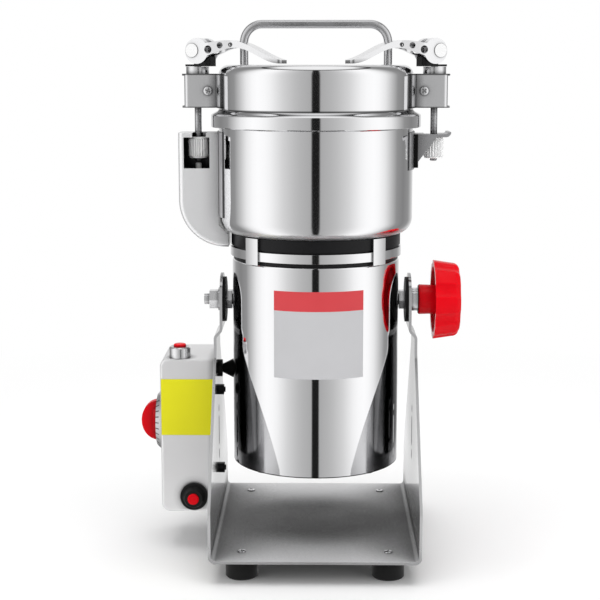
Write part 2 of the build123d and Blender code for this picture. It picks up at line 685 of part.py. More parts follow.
def lock_knob():
    """Red cup with scalloped lobes and a hub behind it."""
    face = Circle(KNOB_R)
    reach = KNOB_R + KNOB_SCALLOP_R - KNOB_SCALLOP_DEPTH
    for i in range(KNOB_LOBES):
        x, y = polar(reach, (i + 0.5) * 360 / KNOB_LOBES)
        face -= Pos(x, y) * Circle(KNOB_SCALLOP_R)
    face = fillet(face.vertices(), 2.0)
    cup = extrude(face, amount=KNOB_T)
    front_edges = cup.faces().sort_by(Axis.Z)[-1].edges()
    cup = fillet(front_edges, KNOB_EDGE_R)
    cup -= disc(KNOB_R - KNOB_SCALLOP_DEPTH - KNOB_WALL, -1, KNOB_T - KNOB_WALL - KNOB_EDGE_R / 2)
    hub = disc(KNOB_HUB_R, -KNOB_HUB_L, KNOB_T - KNOB_WALL)
    hub = fillet(circles(hub)[0], 1.5)
    knob = cup + hub
    knob -= disc(STUD_R + RUN_FIT, -KNOB_HUB_L - 1, KNOB_THREAD_L - KNOB_HUB_L + 1)
    return Pos(KNOB_BACK_X, 0, PIVOT_Z) * Rot(0, 90, 0) * knob


# ================================================================ motor
def bearing_bracket(disc_z, disc_t, hub_z0, hub_z1, bearing_z0, post_z0, post_z1):
    """Spider with a rim in the can, a bearing hub and posts to the stator."""
    rim_r = CAN_R - CAN_WALL - SOCKET_FIT
    bracket = ring(rim_r, rim_r - 6, disc_z, disc_z + disc_t)
    bracket += disc(BRACKET_HUB_R, hub_z0, hub_z1)
    for i in range(BRACKET_POSTS):
        angle = 45 + i * 360 / BRACKET_POSTS
        arm = block(BRACKET_HUB_R - 3, rim_r - 3, -BRACKET_ARM_W / 2, BRACKET_ARM_W / 2, disc_z, disc_z + disc_t)
        bracket += Rot(0, 0, angle) * arm
        x, y = polar(BRACKET_POST_CIRCLE, angle)
        bracket += disc(BRACKET_POST_R, post_z0, post_z1, x, y)
    bracket -= disc(BEARING_R + RUN_FIT, bearing_z0, bearing_z0 + BEARING_T + 0.1)
    bracket -= disc(SHAFT_R + 2, hub_z0 - 1, hub_z1 + 1)
    return bracket


def upper_bearing_bracket():
    """Spider under the can's lip, with the two brush holders."""
    z1 = CAN_TOP - CAN_WALL
    z0 = z1 - BRACKET_T
    bearing_z0 = z1 - BEARING_T - 0.1
    bracket = bearing_bracket(z0, BRACKET_T, bearing_z0 - 2, z1, bearing_z0, STATOR_Z1, z0 + 1)
    brush_z = brush_level()
    for side in (-1, 1):
        x0 = side * (COMMUTATOR_R + 6)
        x1 = side * (COMMUTATOR_R + BRUSH_L + 4)
        w = BRUSH_W / 2 + BRUSH_WALL
        h = BRUSH_H / 2 + BRUSH_WALL
        holder = block(min(x0, x1), max(x0, x1), -w, w, brush_z - h, brush_z + h)
        post = block(min(x0, x1), max(x0, x1), -w, w, brush_z + h - 1, z0 + 1)
        bracket += holder + post
        rim = side * (CAN_R - CAN_WALL - 3)
        bracket += block(min(x0, rim), max(x0, rim), -w, w, z0, z0 + BRACKET_T)
        slot = block(min(x0, x1) - 1, max(x0, x1) + 1, -BRUSH_W / 2 - RUN_FIT, BRUSH_W / 2 + RUN_FIT,
                     brush_z - BRUSH_H / 2 - RUN_FIT, brush_z + BRUSH_H / 2 + RUN_FIT)
        bracket -= slot
    return bracket


def lower_bearing_bracket():
    """Spider above the cover, with posts to the stator and bosses for the cover's screws."""
    disc_z = CAN_Z + COVER_T
    hub_z1 = disc_z + BRACKET_T + BEARING_T + 2
    bearing_z0 = hub_z1 - BEARING_T - 0.1
    bracket = bearing_bracket(disc_z, BRACKET_T, disc_z, hub_z1, bearing_z0, disc_z + 1, STATOR_Z0)
    for x, y in cover_screw_spots():
        bracket -= disc(BOX_SCREW_R + RUN_FIT, disc_z - 1, disc_z + BRACKET_T + 1, x, y)
    return bracket


def brush_level():
    return STATOR_Z1 - ARMATURE_INSET + COMMUTATOR_GAP + COMMUTATOR_H / 2


def shaft_bearings():
    """Ball bearings of the shaft, drawn as closed rings."""
    upper_z = CAN_TOP - CAN_WALL - BEARING_T
    lower_z = CAN_Z + COVER_T + BRACKET_T + 2
    rings = [ring(BEARING_R, SHAFT_R + RUN_FIT, z, z + BEARING_T) for z in (lower_z, upper_z)]
    return group(*rings)


def stator_core():
    """Lamination stack: a yoke with two wide poles."""
    core = ring(STATOR_R, STATOR_R - STATOR_YOKE, STATOR_Z0, STATOR_Z1)
    bore = ARMATURE_R + AIR_GAP
    for angle in (90, 270):
        core += sector(STATOR_R - STATOR_YOKE + 0.5, bore, STATOR_Z0, STATOR_Z1, angle, POLE_HALF_DEG)
    return core


def field_coils():
    """Two windings between the poles, longer than the core."""
    outer = STATOR_R - STATOR_YOKE - SOCKET_FIT
    inner = ARMATURE_R + 2.5
    z0 = STATOR_Z0 - COIL_OVERHANG
    z1 = STATOR_Z1 + COIL_OVERHANG
    return group(*[sector(outer, inner, z0, z1, angle, COIL_HALF_DEG) for angle in (0, 180)])


def carbon_brushes():
    z = brush_level()
    x0 = COMMUTATOR_R + AIR_GAP / 2
    half = BRUSH_H / 2
    brush = block(x0, x0 + BRUSH_L, -BRUSH_W / 2, BRUSH_W / 2, z - half, z + half)
    return group(brush, mirrored(brush))


def armature():
    z0 = STATOR_Z0 + ARMATURE_INSET
    z1 = STATOR_Z1 - ARMATURE_INSET
    core = disc(ARMATURE_R, z0, z1)
    for i in range(ARMATURE_SLOTS):
        depth = ARMATURE_R - ARMATURE_SLOT_D
        slot = block(depth, ARMATURE_R + 1, -ARMATURE_SLOT_W / 2, ARMATURE_SLOT_W / 2, z0 - 1, z1 + 1)
        core -= Rot(0, 0, i * 360 / ARMATURE_SLOTS) * slot
    return core - disc(SHAFT_R, z0 - 1, z1 + 1)


def commutator():
    z0 = STATOR_Z1 - ARMATURE_INSET + COMMUTATOR_GAP
    return ring(COMMUTATOR_R, SHAFT_R, z0, z0 + COMMUTATOR_H)


def cooling_fan():
    """Radial fan below the stator."""
    fan = ring(FAN_R, SHAFT_R, FAN_Z, FAN_Z + FAN_T)
    fan += ring(SHAFT_R + 4, SHAFT_R, FAN_Z, FAN_Z + FAN_BLADE_H)
    for i in range(FAN_BLADES):
        vane = block(SHAFT_R + 12, FAN_R - 8, -FAN_T / 2, FAN_T / 2, FAN_Z, FAN_Z + FAN_BLADE_H)
        fan += Rot(0, 0, i * 360 / FAN_BLADES) * vane
    return fan


def motor_shaft():
    shaft = disc(SHAFT_R, SHAFT_BOTTOM_Z, SHAFT_TOP)
    return chamfer(circles(shaft)[-1], 0.8)


# ================================================================ neck and bowl
def neck_spacer():
    """Black spacer between the can and the bowl."""
    spacer = disc(SPACER_R, CAN_TOP, BOWL_Z)
    spacer += disc(SPACER_FLANGE_R, BOWL_Z - SPACER_FLANGE_T, BOWL_Z)
    return spacer - disc(SHAFT_R + 3, CAN_TOP - 1, BOWL_Z + 1)


def neck_ring():
    """Steel ring with tabs that reach from the can to the bowl."""
    z0 = CAN_TOP + RING_Z
    neck = ring(RING_R, RING_R - RING_WALL, z0, z0 + RING_H)
    for i in range(TAB_COUNT):
        tab = ring(RING_R + TAB_T, RING_R - 0.3, CAN_TOP, BOWL_Z)
        half = degrees(asin(TAB_W / 2 / RING_R))
        tab &= sector(RING_R + 5, RING_R - 5, CAN_TOP - 1, BOWL_Z + 1, TAB_FIRST_DEG + i * 360 / TAB_COUNT, half)
        neck += tab
    return neck


def bowl():
    outer = fillet(circles(disc(BOWL_R, BOWL_Z, RIM_Z))[0], BOWL_CORNER_R)
    inner_disc = disc(BOWL_R - BOWL_WALL, BOWL_Z + BOWL_FLOOR, RIM_Z + 1)
    inner = fillet(circles(inner_disc)[0], BOWL_CORNER_R - BOWL_WALL)
    return outer - inner - disc(SEAL_HOLE_R, BOWL_Z - 1, BOWL_Z + BOWL_FLOOR + 1)


def shaft_seal():
    """Flanged seal in the bowl's floor."""
    top = BOWL_Z + BOWL_FLOOR + SEAL_FLANGE_T
    seal = disc(SEAL_HOLE_R - SOCKET_FIT, BOWL_Z, top)
    seal += disc(SEAL_FLANGE_R, BOWL_Z + BOWL_FLOOR, top)
    seal = chamfer(circles(seal)[-1], 1.0)
    return seal - disc(SHAFT_R + RUN_FIT, BOWL_Z - 1, top + 1)


# ================================================================ blades
def blade(radius, z, tip_deg, turn_deg):
    """Two-armed cutter with tapered, bevelled arms and bent tips."""
    root = BLADE_ROOT_W / 2
    tip = BLADE_TIP_W / 2
    flat = radius - BLADE_TIP_L
    arm = make_face(Polyline(
        (0, -root), (BLADE_HUB_R, -root), (flat, -tip), (flat, tip * 0.4), (BLADE_HUB_R, root), (0, root), close=True))
    half = extrude(arm, amount=BLADE_T)
    wing = make_face(Polyline((0, -tip), (BLADE_TIP_L, -tip * 0.3), (BLADE_TIP_L, tip * 0.4), (0, tip * 0.4), close=True))
    wing_solid = Pos(flat, 0, 0) * Rot(0, -tip_deg, 0) * extrude(wing, amount=BLADE_T)
    half += wing_solid
    cutter = half + Rot(0, 0, 180) * half + disc(BLADE_HUB_R, 0, BLADE_T)
    cutter -= disc(SHAFT_R, -1, BLADE_T + 1)
    slope = degrees(atan2(root - tip, flat - BLADE_HUB_R))
    edge = Pos(BLADE_HUB_R, -root, BLADE_T) * Rot(0, 0, slope) * Rot(45, 0, 0) * Box(
        2 * (flat - BLADE_HUB_R), BLADE_BEVEL, BLADE_BEVEL)
    cutter -= edge
    cutter -= Rot(0, 0, 180) * edge
    return Pos(0, 0, z) * Rot(0, 0, turn_deg) * cutter


def lower_blade():
    return blade(LOWER_BLADE_R, BLADE_Z0, LOWER_TIP_DEG, BLADE_REST_DEG)


def upper_blade():
    return blade(UPPER_BLADE_R, BLADE_Z1, UPPER_TIP_DEG, BLADE_REST_DEG + BLADE_TURN_DEG)


def blade_spacers():
    """Tubes on the shaft below, between and above the blades."""
    seal_top = BOWL_Z + BOWL_FLOOR + SEAL_FLANGE_T + FACE_GAP
    lower = ring(SPACER_TUBE_R, SHAFT_R, seal_top, BLADE_Z0)
    middle = ring(SPACER_TUBE_R, SHAFT_R, BLADE_Z0 + BLADE_T, BLADE_Z1)
    return group(lower, middle)


def blade_nut():
    z0 = BLADE_Z1 + BLADE_T
    face = RegularPolygon(BLADE_NUT_AF / 2, 6, major_radius=False)
    nut = Pos(0, 0, z0) * extrude(face, amount=BLADE_NUT_H)
    return nut - disc(SHAFT_R, z0 - 1, z0 + BLADE_NUT_H + 1)


# ================================================================ lid
def lid_shell():
    """Cap with a flared skirt that drops around the bowl's rim."""
    outer = lid_form(0.0)
    inner = lid_form(LID_WALL)
    return outer - inner


def lid_form(inset):
    """Solid of revolution of the lid, drawn inward by the wall."""
    r = LID_R - inset
    s = SKIRT_R - inset
    skirt_top = SKIRT_Z + SKIRT_H - inset * 0.4
    flare_top = skirt_top + FLARE_H
    bottom = SKIRT_Z - (1 if inset else 0)
    top = LID_TOP - inset
    profile = Polyline(
        (0, bottom), (s, bottom), (s, skirt_top), (r, flare_top), (r, top), (0, top), close=True)
    face = make_face(profile)
    corner = [v for v in face.vertices() if v.X > 1 and v.Y > top - 0.1]
    face = fillet(corner, LID_CORNER_R - inset)
    bends = [v for v in face.vertices() if v.Y > bottom + 0.5 and v.Y < flare_top + 0.5 and v.X > 1]
    face = fillet(bends, 1.2)
    return revolve(Plane.XZ * face, Axis.Z)


def lid_gasket():
    """Seal between the bowl's rim and the lid."""
    outer = SKIRT_R - LID_WALL - SOCKET_FIT
    z0 = RIM_Z + FACE_GAP
    return ring(outer, outer - GASKET_W, z0, z0 + GASKET_T)


def lid_handle():
    """Bail of round bar across the lid."""
    z0 = LID_TOP
    z1 = LID_TOP + HANDLE_RISE
    path = FilletPolyline(
        (-HANDLE_HALF, z0), (-HANDLE_HALF, z1), (HANDLE_HALF, z1), (HANDLE_HALF, z0), radius=HANDLE_BEND_R)
    line = Plane.XZ * path
    return sweep(Plane((-HANDLE_HALF, 0, z0), z_dir=(0, 0, 1)) * Circle(HANDLE_R), path=line)


def lid_brackets():
    """Curved plates on the lid's sides that carry the clamp blocks."""
    r0 = LID_R
    r1 = r0 + BRACKET_SHEET
    plate = sector(r1, r0, BLOCK_Z, BLOCK_TOP, 180, BRACKET_HALF_DEG)
    for side in (-1, 1):
        x, y = polar(r0, 180 + side * BRACKET_HOLE_DEG)
        z = (BLOCK_Z + BLOCK_TOP) / 2
        hole = Pos(x, y, z) * Rot(0, 0, side * BRACKET_HOLE_DEG) * Rot(0, 90, 0) * Cylinder(BRACKET_HOLE_R, 10)
        plate -= hole
    return group(plate, mirrored(plate))


def clamp_blocks():
    """Folded blocks beside the lid: front, outer, top and bottom walls, open at the back."""
    x_in = LID_R
    y = BLOCK_DEPTH / 2
    shell = block(-BLOCK_OUT_X, -x_in, -y, y, BLOCK_Z, BLOCK_TOP)
    upright = shell.edges().filter_by(Axis.Z)
    outer_front = [e for e in upright if e.center().X < -x_in - 5 and e.center().Y < 0]
    shell = fillet(outer_front, 2 * BLOCK_SHEET)
    hollow = block(
        -BLOCK_OUT_X + BLOCK_SHEET, -x_in + 1,
        -y + BLOCK_SHEET, y + 1,
        BLOCK_Z + BLOCK_SHEET, BLOCK_TOP - BLOCK_SHEET,
    )
    shell -= hollow
    for z0, z1 in ((BLOCK_Z, BLOCK_Z + BLOCK_SHEET), (BLOCK_TOP - BLOCK_SHEET, BLOCK_TOP)):
        shell += block(-BLOCK_OUT_X - BLOCK_LIP, -BLOCK_OUT_X + BLOCK_SHEET, -y + 3, y, z0, z1)
    shell -= disc(LID_R + BRACKET_SHEET, BLOCK_Z - 1, BLOCK_TOP + 1)
    shell -= disc(ROD_R + LOOSE_FIT, BLOCK_Z - 1, BLOCK_TOP + 1, -ROD_X)
    shell -= bar_y(BOX_SCREW_R + RUN_FIT, -y - 1, 0, -BLOCK_SCREW_X, (BLOCK_Z + BLOCK_TOP) / 2)
    return group(shell, mirrored(shell))


def block_screws():
    """Round head screw on the front of each block."""
    y0 = -BLOCK_DEPTH / 2
    z = (BLOCK_Z + BLOCK_TOP) / 2
    head = bar_y(BLOCK_SCREW_R, y0 - BLOCK_SCREW_T, y0, -BLOCK_SCREW_X, z)
    head = chamfer(head.edges().filter_by(GeomType.CIRCLE).sort_by(Axis.Y)[0], BLOCK_SCREW_T / 2)
    shank = bar_y(BOX_SCREW_R, y0 - 1, y0 + BLOCK_SHEET, -BLOCK_SCREW_X, z)
    screw = head + shank
    return group(screw, mirrored(screw))


def rod_washers():
    """Thick washers between blocks and saddles."""
    washer = ring(ROD_WASHER_R, ROD_R + LOOSE_FIT, BLOCK_TOP, WASHER_TOP, -ROD_X)
    return group(washer, mirrored(washer))


# ================================================================ cam clamps
# Each clamp is drawn about its own rod axis, with the lever pointing along +X and the barrel's
# axis along Y, and then turned to point at the lid, a little towards the front.
def place_left(part):
    return Pos(-ROD_X, 0, 0) * Rot(0, 0, -CLAMP_YAW) * part


def place_right(part):
    return Pos(ROD_X, 0, 0) * Rot(0, 0, 180 + CLAMP_YAW) * part


def cam_centre():
    return CAM_OFFSET, BARREL_Z - CAM_DROP


def saddle():
    """Black pad under the cam, hollowed on the lid's side to the cam's round."""
    cam_x, cam_z = cam_centre()
    floor_z = SADDLE_Z + SADDLE_FLOOR
    pad = block(-SADDLE_OUT, SADDLE_IN, -SADDLE_D / 2, SADDLE_D / 2, SADDLE_Z, floor_z + SADDLE_HORN)
    pad = fillet(pad.edges().filter_by(Axis.Z), SADDLE_D / 4)
    pad -= block(-SADDLE_OUT - 1, cam_x, -SADDLE_D, SADDLE_D, floor_z, floor_z + SADDLE_HORN + 1)
    pad -= bar_y(CAM_R + SADDLE_PLAY, -SADDLE_D, SADDLE_D, cam_x, cam_z + SADDLE_PLAY - CAM_GAP)
    return pad - disc(ROD_R + LOOSE_FIT, SADDLE_Z - 1, floor_z + SADDLE_HORN + 1)


def clamp_rod():
    """Rod with the cross barrel that the cam turns on."""
    rod = disc(ROD_R, ROD_END_Z, BARREL_Z)
    rod = chamfer(circles(rod)[0], 0.5)
    barrel = bar_y(BARREL_R, -BARREL_HALF, BARREL_HALF, 0, BARREL_Z)
    return rod + barrel


def lever():
    """Cam head with two cheeks, a hollow arm with three holes, and a dropped tip."""
    cam_x, cam_z = cam_centre()
    side = Pos(cam_x, cam_z - BARREL_Z) * Circle(CAM_R) + lever_arm(0.0)
    body = extrude(Plane.XZ * side, amount=LEVER_HALF_W, both=True)
    channel = extrude(Plane.XZ * lever_arm(LEVER_WEB), amount=LEVER_ARM_HALF_W - LEVER_CHEEK, both=True)
    body -= channel & block(cam_x + CAM_R, LEVER_L - LEVER_WEB * 1.8, -LEVER_L, LEVER_L, -LEVER_L, LEVER_L)
    body &= Pos(0, 0, -LEVER_L) * extrude(lever_plan(), amount=2 * LEVER_L)
    fork = LEVER_FORK_HALF
    body -= block(-CAM_R, cam_x + CAM_R + 1, -fork, fork, -CAM_R - 2, CAM_R + 2)
    for x, z, r in LEVER_HOLES:
        body -= bar_y(r, -LEVER_L, LEVER_L, x, z)
    body -= bar_y(BARREL_R + RUN_FIT, -LEVER_L, LEVER_L, 0, 0)
    return Pos(0, 0, BARREL_Z) * body


def lever_arm(drop):
    """Side view of the arm: a rising neck, a long fall and a thin level tip."""
    def at(along, up):
        return LEVER_L * along, LEVER_L * up - drop

    upper = Spline(at(0, 0.07), at(0.2, 0.08), at(0.36, 0.1), at(0.55, 0.08), at(0.87, -0.061), at(1, -0.1))
    lower = Spline(at(1, -0.1348), at(0.84, -0.104), at(0.57, 0.012), at(0.36, 0.012), at(0.2, -0.046), at(0, -0.058))
    outline = upper + Line(upper @ 1, lower @ 0) + lower + Line(lower @ 1, upper @ 0)
    return make_face(outline)


def lever_plan():
    """Top view of the lever: a wide head that tapers to the arm and a rounded tip."""
    w = LEVER_HALF_W
    a = LEVER_ARM_HALF_W
    back = -CAM_R - 3
    wide = LEVER_L * 0.188
    slim = LEVER_L * 0.435
    plan = FilletPolyline(
        (back, -w), (wide, -w), (slim, -a), (LEVER_L, -a), (LEVER_L, a), (slim, a), (wide, w), (back, w),
        radius=[0.5, w - 1, w + 3, a / 2, a / 2, w + 3, w - 1, 0.5], close=True)
    return make_face(plan)


def thumb_nut():
    nut = disc(NUT_R, NUT_Z, NUT_TOP)
    nut = chamfer(circles(nut), NUT_CHAMFER)
    return nut - disc(ROD_R + RUN_FIT, NUT_Z - 1, NUT_TOP + 1)


# ================================================================ catches on the bowl
def wall_strips():
    """Curved strips on the bowl's wall that carry the housing and the catch."""
    r0 = BOWL_R
    r1 = r0 + STRIP_T
    left = sector(r1, r0, STRIP_TOP_Z - LEFT_STRIP_H, STRIP_TOP_Z, 180, STRIP_HALF_DEG)
    right = sector(r1, r0, STRIP_TOP_Z - RIGHT_STRIP_H, STRIP_TOP_Z, 0, STRIP_HALF_DEG)
    return group(left, right)


def catch_bracket():
    """Right catch: a slotted top plate with a curled lip, a wall flange and a front gusset."""
    top = CATCH_UNDER_Z + CATCH_SHEET
    z0 = top - CATCH_H
    x_in = BOWL_R
    w = CATCH_HALF_W
    lip_x = CATCH_OUT_X - CATCH_LIP_R
    plate = block(x_in, lip_x, -w, w, CATCH_UNDER_Z, top)
    lip = ring(CATCH_LIP_R + CATCH_SHEET / 2, CATCH_LIP_R - CATCH_SHEET / 2, -w, w)
    lip = Pos(lip_x, 0, top - CATCH_SHEET / 2 + CATCH_LIP_R) * Rot(90, 0, 0) * lip
    lip &= block(lip_x, CATCH_OUT_X + 5, -w, w, CATCH_UNDER_Z, CATCH_UNDER_Z + CATCH_LIP_R + CATCH_SHEET / 2)
    flange = block(x_in, BOWL_R + STRIP_T + CATCH_SHEET, -w, w, z0, top)
    gusset_face = make_face(Polyline(
        (x_in, z0), (ROD_X, CATCH_UNDER_Z - CATCH_SHEET), (ROD_X + ROD_R, top), (x_in, top), close=True))
    gusset = Pos(0, -w + CATCH_SHEET, 0) * extrude(Plane.XZ * gusset_face, amount=CATCH_SHEET)
    catch = plate + lip + flange + gusset
    catch -= disc(BOWL_R + STRIP_T, z0 - 1, top + 1)
    slot = block(ROD_X - CATCH_SLOT_W, ROD_X + CATCH_SLOT_W / 2, 0, w + 1, CATCH_UNDER_Z - 1, top + 1)
    catch -= slot
    catch -= disc(CATCH_SLOT_W / 2, CATCH_UNDER_Z - 1, top + 1, ROD_X)
    return catch


def housing_outline(inset):
    """Front view of the interlock housing: straight side, bend under the bowl, short foot."""
    x_out = -HOUSING_OUT_X + inset
    top = CATCH_UNDER_Z + HOUSING_TOP_T - (HOUSING_TOP_T if inset else 0)
    z_foot = HOUSING_FOOT_Z + inset
    x_foot = -HOUSING_FOOT_X - inset
    face = make_face(Polyline((x_out, top), (x_out, z_foot), (x_foot, z_foot), (x_foot, top), close=True))
    bend = face.vertices().group_by(Axis.Y)[0].sort_by(Axis.X)[0]
    return fillet(bend, HOUSING_BEND_R - inset)


def bowl_room(margin):
    """The bowl and its strip, grown by a margin, with the lower corner cut off at a slant."""
    radius = BOWL_R + STRIP_T + SOCKET_FIT + margin
    room = disc(radius, BOWL_Z - FACE_GAP - margin, STRIP_TOP_Z + BOWL_H)
    return chamfer(circles(room)[0], HOUSING_CORNER_CUT + margin / 2)


def interlock_housing():
    """J-shaped housing with a slotted top, a window for the nut and a foot below the bowl."""
    half = HOUSING_DEPTH / 2
    shell = extrude(Plane.XZ * housing_outline(0.0), amount=half, both=True) - bowl_room(0.0)
    hollow = extrude(Plane.XZ * housing_outline(HOUSING_WALL), amount=half - HOUSING_WALL, both=True)
    shell -= hollow - bowl_room(HOUSING_WALL)
    window_top = CATCH_UNDER_Z - WINDOW_DROP
    shell -= block(
        -WINDOW_OUT_X, -WINDOW_IN_X,
        -half - 1, -half + HOUSING_WALL + 1,
        window_top - WINDOW_H, window_top,
    )
    top = CATCH_UNDER_Z + HOUSING_TOP_T
    slot = block(-ROD_X - CATCH_SLOT_W / 2, -ROD_X + CATCH_SLOT_W, -half - 1, 0, CATCH_UNDER_Z - 1, top + 1)
    slot += disc(CATCH_SLOT_W / 2, CATCH_UNDER_Z - 1, top + 1, -ROD_X)
    return shell - slot


def microswitch():
    """Switch body behind the window's lower edge, with a bore for the plunger."""
    x0 = -HOUSING_OUT_X + HOUSING_WALL
    body = block(x0, -SWITCH_IN_X, -SWITCH_D / 2, SWITCH_D / 2, SWITCH_TOP_Z - SWITCH_H, SWITCH_TOP_Z)
    bore_z = PLUNGER_TOP - PLUNGER_L - PLUNGER_TRAVEL - FACE_GAP
    return body - disc(PLUNGER_R + RUN_FIT, bore_z, SWITCH_TOP_Z + 1, -ROD_X)


def interlock_plunger():
    plunger = disc(PLUNGER_R, PLUNGER_TOP - PLUNGER_L, PLUNGER_TOP, -ROD_X)
    return fillet(circles(plunger)[-1], 0.8)


# ================================================================ assembly
def all_pieces():
    """Every piece of the mill under its node name."""
    return {
        "base_frame": base_frame(),
        "feet": feet(),
        "stand_screws": stand_screws(),
        "friction_discs": friction_discs(),
        "switch_box": switch_box(),
        "button_bezel": button_bezel(),
        "power_button": power_button(),
        "reset_boot": reset_boot(),
        "reset_button": reset_button(),
        "overload_breaker": overload_breaker(),
        "timer_body": timer_body(),
        "timer_skirt": timer_skirt(),
        "timer_grip": timer_grip(),
        "arm_grommet": arm_grommet(),
        "mains_gland": mains_gland(),
        "motor_can": motor_can(),
        "can_gland": can_gland(),
        "can_cover": can_cover(),
        "cover_screws": cover_screws(),
        "pivot_studs": pivot_studs(),
        "pivot_nuts": pivot_nuts(),
        "lock_knob": lock_knob(),
        "upper_bearing_bracket": upper_bearing_bracket(),
        "lower_bearing_bracket": lower_bearing_bracket(),
        "shaft_bearings": shaft_bearings(),
        "stator_core": stator_core(),
        "field_coils": field_coils(),
        "carbon_brushes": carbon_brushes(),
        "armature": armature(),
        "commutator": commutator(),
        "cooling_fan": cooling_fan(),
        "motor_shaft": motor_shaft(),
        "neck_spacer": neck_spacer(),
        "neck_ring": neck_ring(),
        "bowl": bowl(),
        "shaft_seal": shaft_seal(),
        "lower_blade": lower_blade(),
        "upper_blade": upper_blade(),
        "blade_spacers": blade_spacers(),
        "blade_nut": blade_nut(),
        "lid_shell": lid_shell(),
        "lid_gasket": lid_gasket(),
        "lid_handle": lid_handle(),
        "lid_brackets": lid_brackets(),
        "clamp_blocks": clamp_blocks(),
        "block_screws": block_screws(),
        "rod_washers": rod_washers(),
        "left_saddle": place_left(saddle()),
        "right_saddle": place_right(saddle()),
        "left_rod": place_left(clamp_rod()),
        "right_rod": place_right(clamp_rod()),
        "left_lever": place_left(lever()),
        "right_lever": place_right(lever()),
        "left_thumb_nut": place_left(thumb_nut()),
        "right_thumb_nut": place_right(thumb_nut()),
        "wall_strips": wall_strips(),
        "catch_bracket": catch_bracket(),
        "interlock_housing": interlock_housing(),
        "microswitch": microswitch(),
        "interlock_plunger": interlock_plunger(),
    }


def main():
    os.makedirs("parts", exist_ok=True)
    for name, piece in all_pieces().items():
        export_step(Pos(SPINDLE_X, 0, 0) * piece, "parts/" + name + ".step")


main()
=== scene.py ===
# %% [markdown]
# # A swing type grain mill
# The mill comes from the CAD model as separate pieces that already stand in the right place, in metres.
# This lesson gives each piece its finish, turns the polished shells again with finer facets, adds the small
# things that a drawing leaves out, such as screw slots, labels and dial marks, and lights it all softly.

# %% Load the mill
import json
import math
import bpy
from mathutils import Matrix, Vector

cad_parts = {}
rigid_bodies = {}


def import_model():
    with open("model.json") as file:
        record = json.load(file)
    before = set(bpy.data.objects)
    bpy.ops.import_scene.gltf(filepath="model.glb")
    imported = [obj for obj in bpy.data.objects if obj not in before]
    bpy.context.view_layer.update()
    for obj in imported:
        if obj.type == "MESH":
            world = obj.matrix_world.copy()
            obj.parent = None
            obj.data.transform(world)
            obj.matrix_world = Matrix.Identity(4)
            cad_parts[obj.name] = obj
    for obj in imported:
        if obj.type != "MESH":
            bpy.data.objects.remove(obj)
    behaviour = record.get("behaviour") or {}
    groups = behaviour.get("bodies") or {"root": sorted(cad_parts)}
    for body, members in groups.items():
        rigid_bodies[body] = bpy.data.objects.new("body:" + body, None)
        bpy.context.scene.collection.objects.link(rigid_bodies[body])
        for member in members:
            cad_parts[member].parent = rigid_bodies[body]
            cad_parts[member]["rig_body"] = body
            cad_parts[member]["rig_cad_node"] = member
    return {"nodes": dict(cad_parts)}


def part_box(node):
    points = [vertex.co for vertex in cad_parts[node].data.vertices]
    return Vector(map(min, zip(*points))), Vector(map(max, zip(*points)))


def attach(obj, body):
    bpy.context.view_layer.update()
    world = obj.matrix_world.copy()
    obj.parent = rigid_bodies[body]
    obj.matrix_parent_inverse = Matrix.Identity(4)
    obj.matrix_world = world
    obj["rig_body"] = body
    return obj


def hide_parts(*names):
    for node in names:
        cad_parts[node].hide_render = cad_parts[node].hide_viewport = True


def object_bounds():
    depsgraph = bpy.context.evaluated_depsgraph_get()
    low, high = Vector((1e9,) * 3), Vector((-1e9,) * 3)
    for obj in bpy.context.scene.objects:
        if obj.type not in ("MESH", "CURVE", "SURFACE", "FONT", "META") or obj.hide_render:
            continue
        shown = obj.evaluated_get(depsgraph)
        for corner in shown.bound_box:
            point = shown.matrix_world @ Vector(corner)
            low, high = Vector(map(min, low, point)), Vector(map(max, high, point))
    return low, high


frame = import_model()
cad_low, cad_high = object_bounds()
nodes = frame["nodes"]
MM = 0.001
print("nodes:", len(nodes), "box in mm:", [round(v / MM, 1) for v in (*cad_low, *cad_high)])

# %% [markdown]
# Places are read from the CAD boxes, so that everything below follows the model. The spindle is the
# axis that the bowl, the can and the lid share, and most round pieces are turned about it.

# %% Find the spindle and the main levels
def middle(node):
    """Centre of a node's box."""
    low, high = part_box(node)
    return (low + high) / 2


def radius_of(node):
    """Half the width of a round node."""
    low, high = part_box(node)
    return (high.x - low.x) / 2


spindle_x = middle("shaft_seal").x
can_low, can_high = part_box("motor_can")
bowl_low, bowl_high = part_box("bowl")
lid_low, lid_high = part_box("lid_shell")
can_r = radius_of("motor_can")
bowl_r = radius_of("bowl")
skirt_r = radius_of("lid_shell")
print("spindle at x", round(spindle_x / MM, 2), "bowl radius", round(bowl_r / MM, 2))

# %% [markdown]
# The camera is a short telephoto lens a metre away, a little above the lid and tilted down, as for a
# catalogue picture. A longer lens would flatten the ellipses of the rims too much.

# %% Place the camera
EYE = (spindle_x + 0.002, -1.03, 0.356)
TILT_DEG = 9.4
PAN_DEG = 0.75
camera = bpy.data.objects.new("camera", bpy.data.cameras.new("camera"))
bpy.context.scene.collection.objects.link(camera)
camera.data.lens = 85.0
camera.data.sensor_width = 36.0
camera.data.clip_start = 0.05
camera.data.clip_end = 50.0
camera.location = EYE
camera.rotation_euler = (math.radians(90 - TILT_DEG), 0.0, math.radians(PAN_DEG))
bpy.context.scene.camera = camera
print("camera", tuple(round(v, 3) for v in camera.location))

# %% [markdown]
# A material is a graph of nodes. Four small helpers start one, add a colour ramp, add a sum and read the
# place of a point on a piece. Places are read in Object coordinates, because every finished piece has its
# object at the origin, so one metre there is one metre on the mill.

# %% Helpers for node materials
def node_material(name):
    """New material with an empty graph."""
    material = bpy.data.materials.new(name)
    material.use_nodes = True
    material.node_tree.nodes.clear()
    return material, material.node_tree


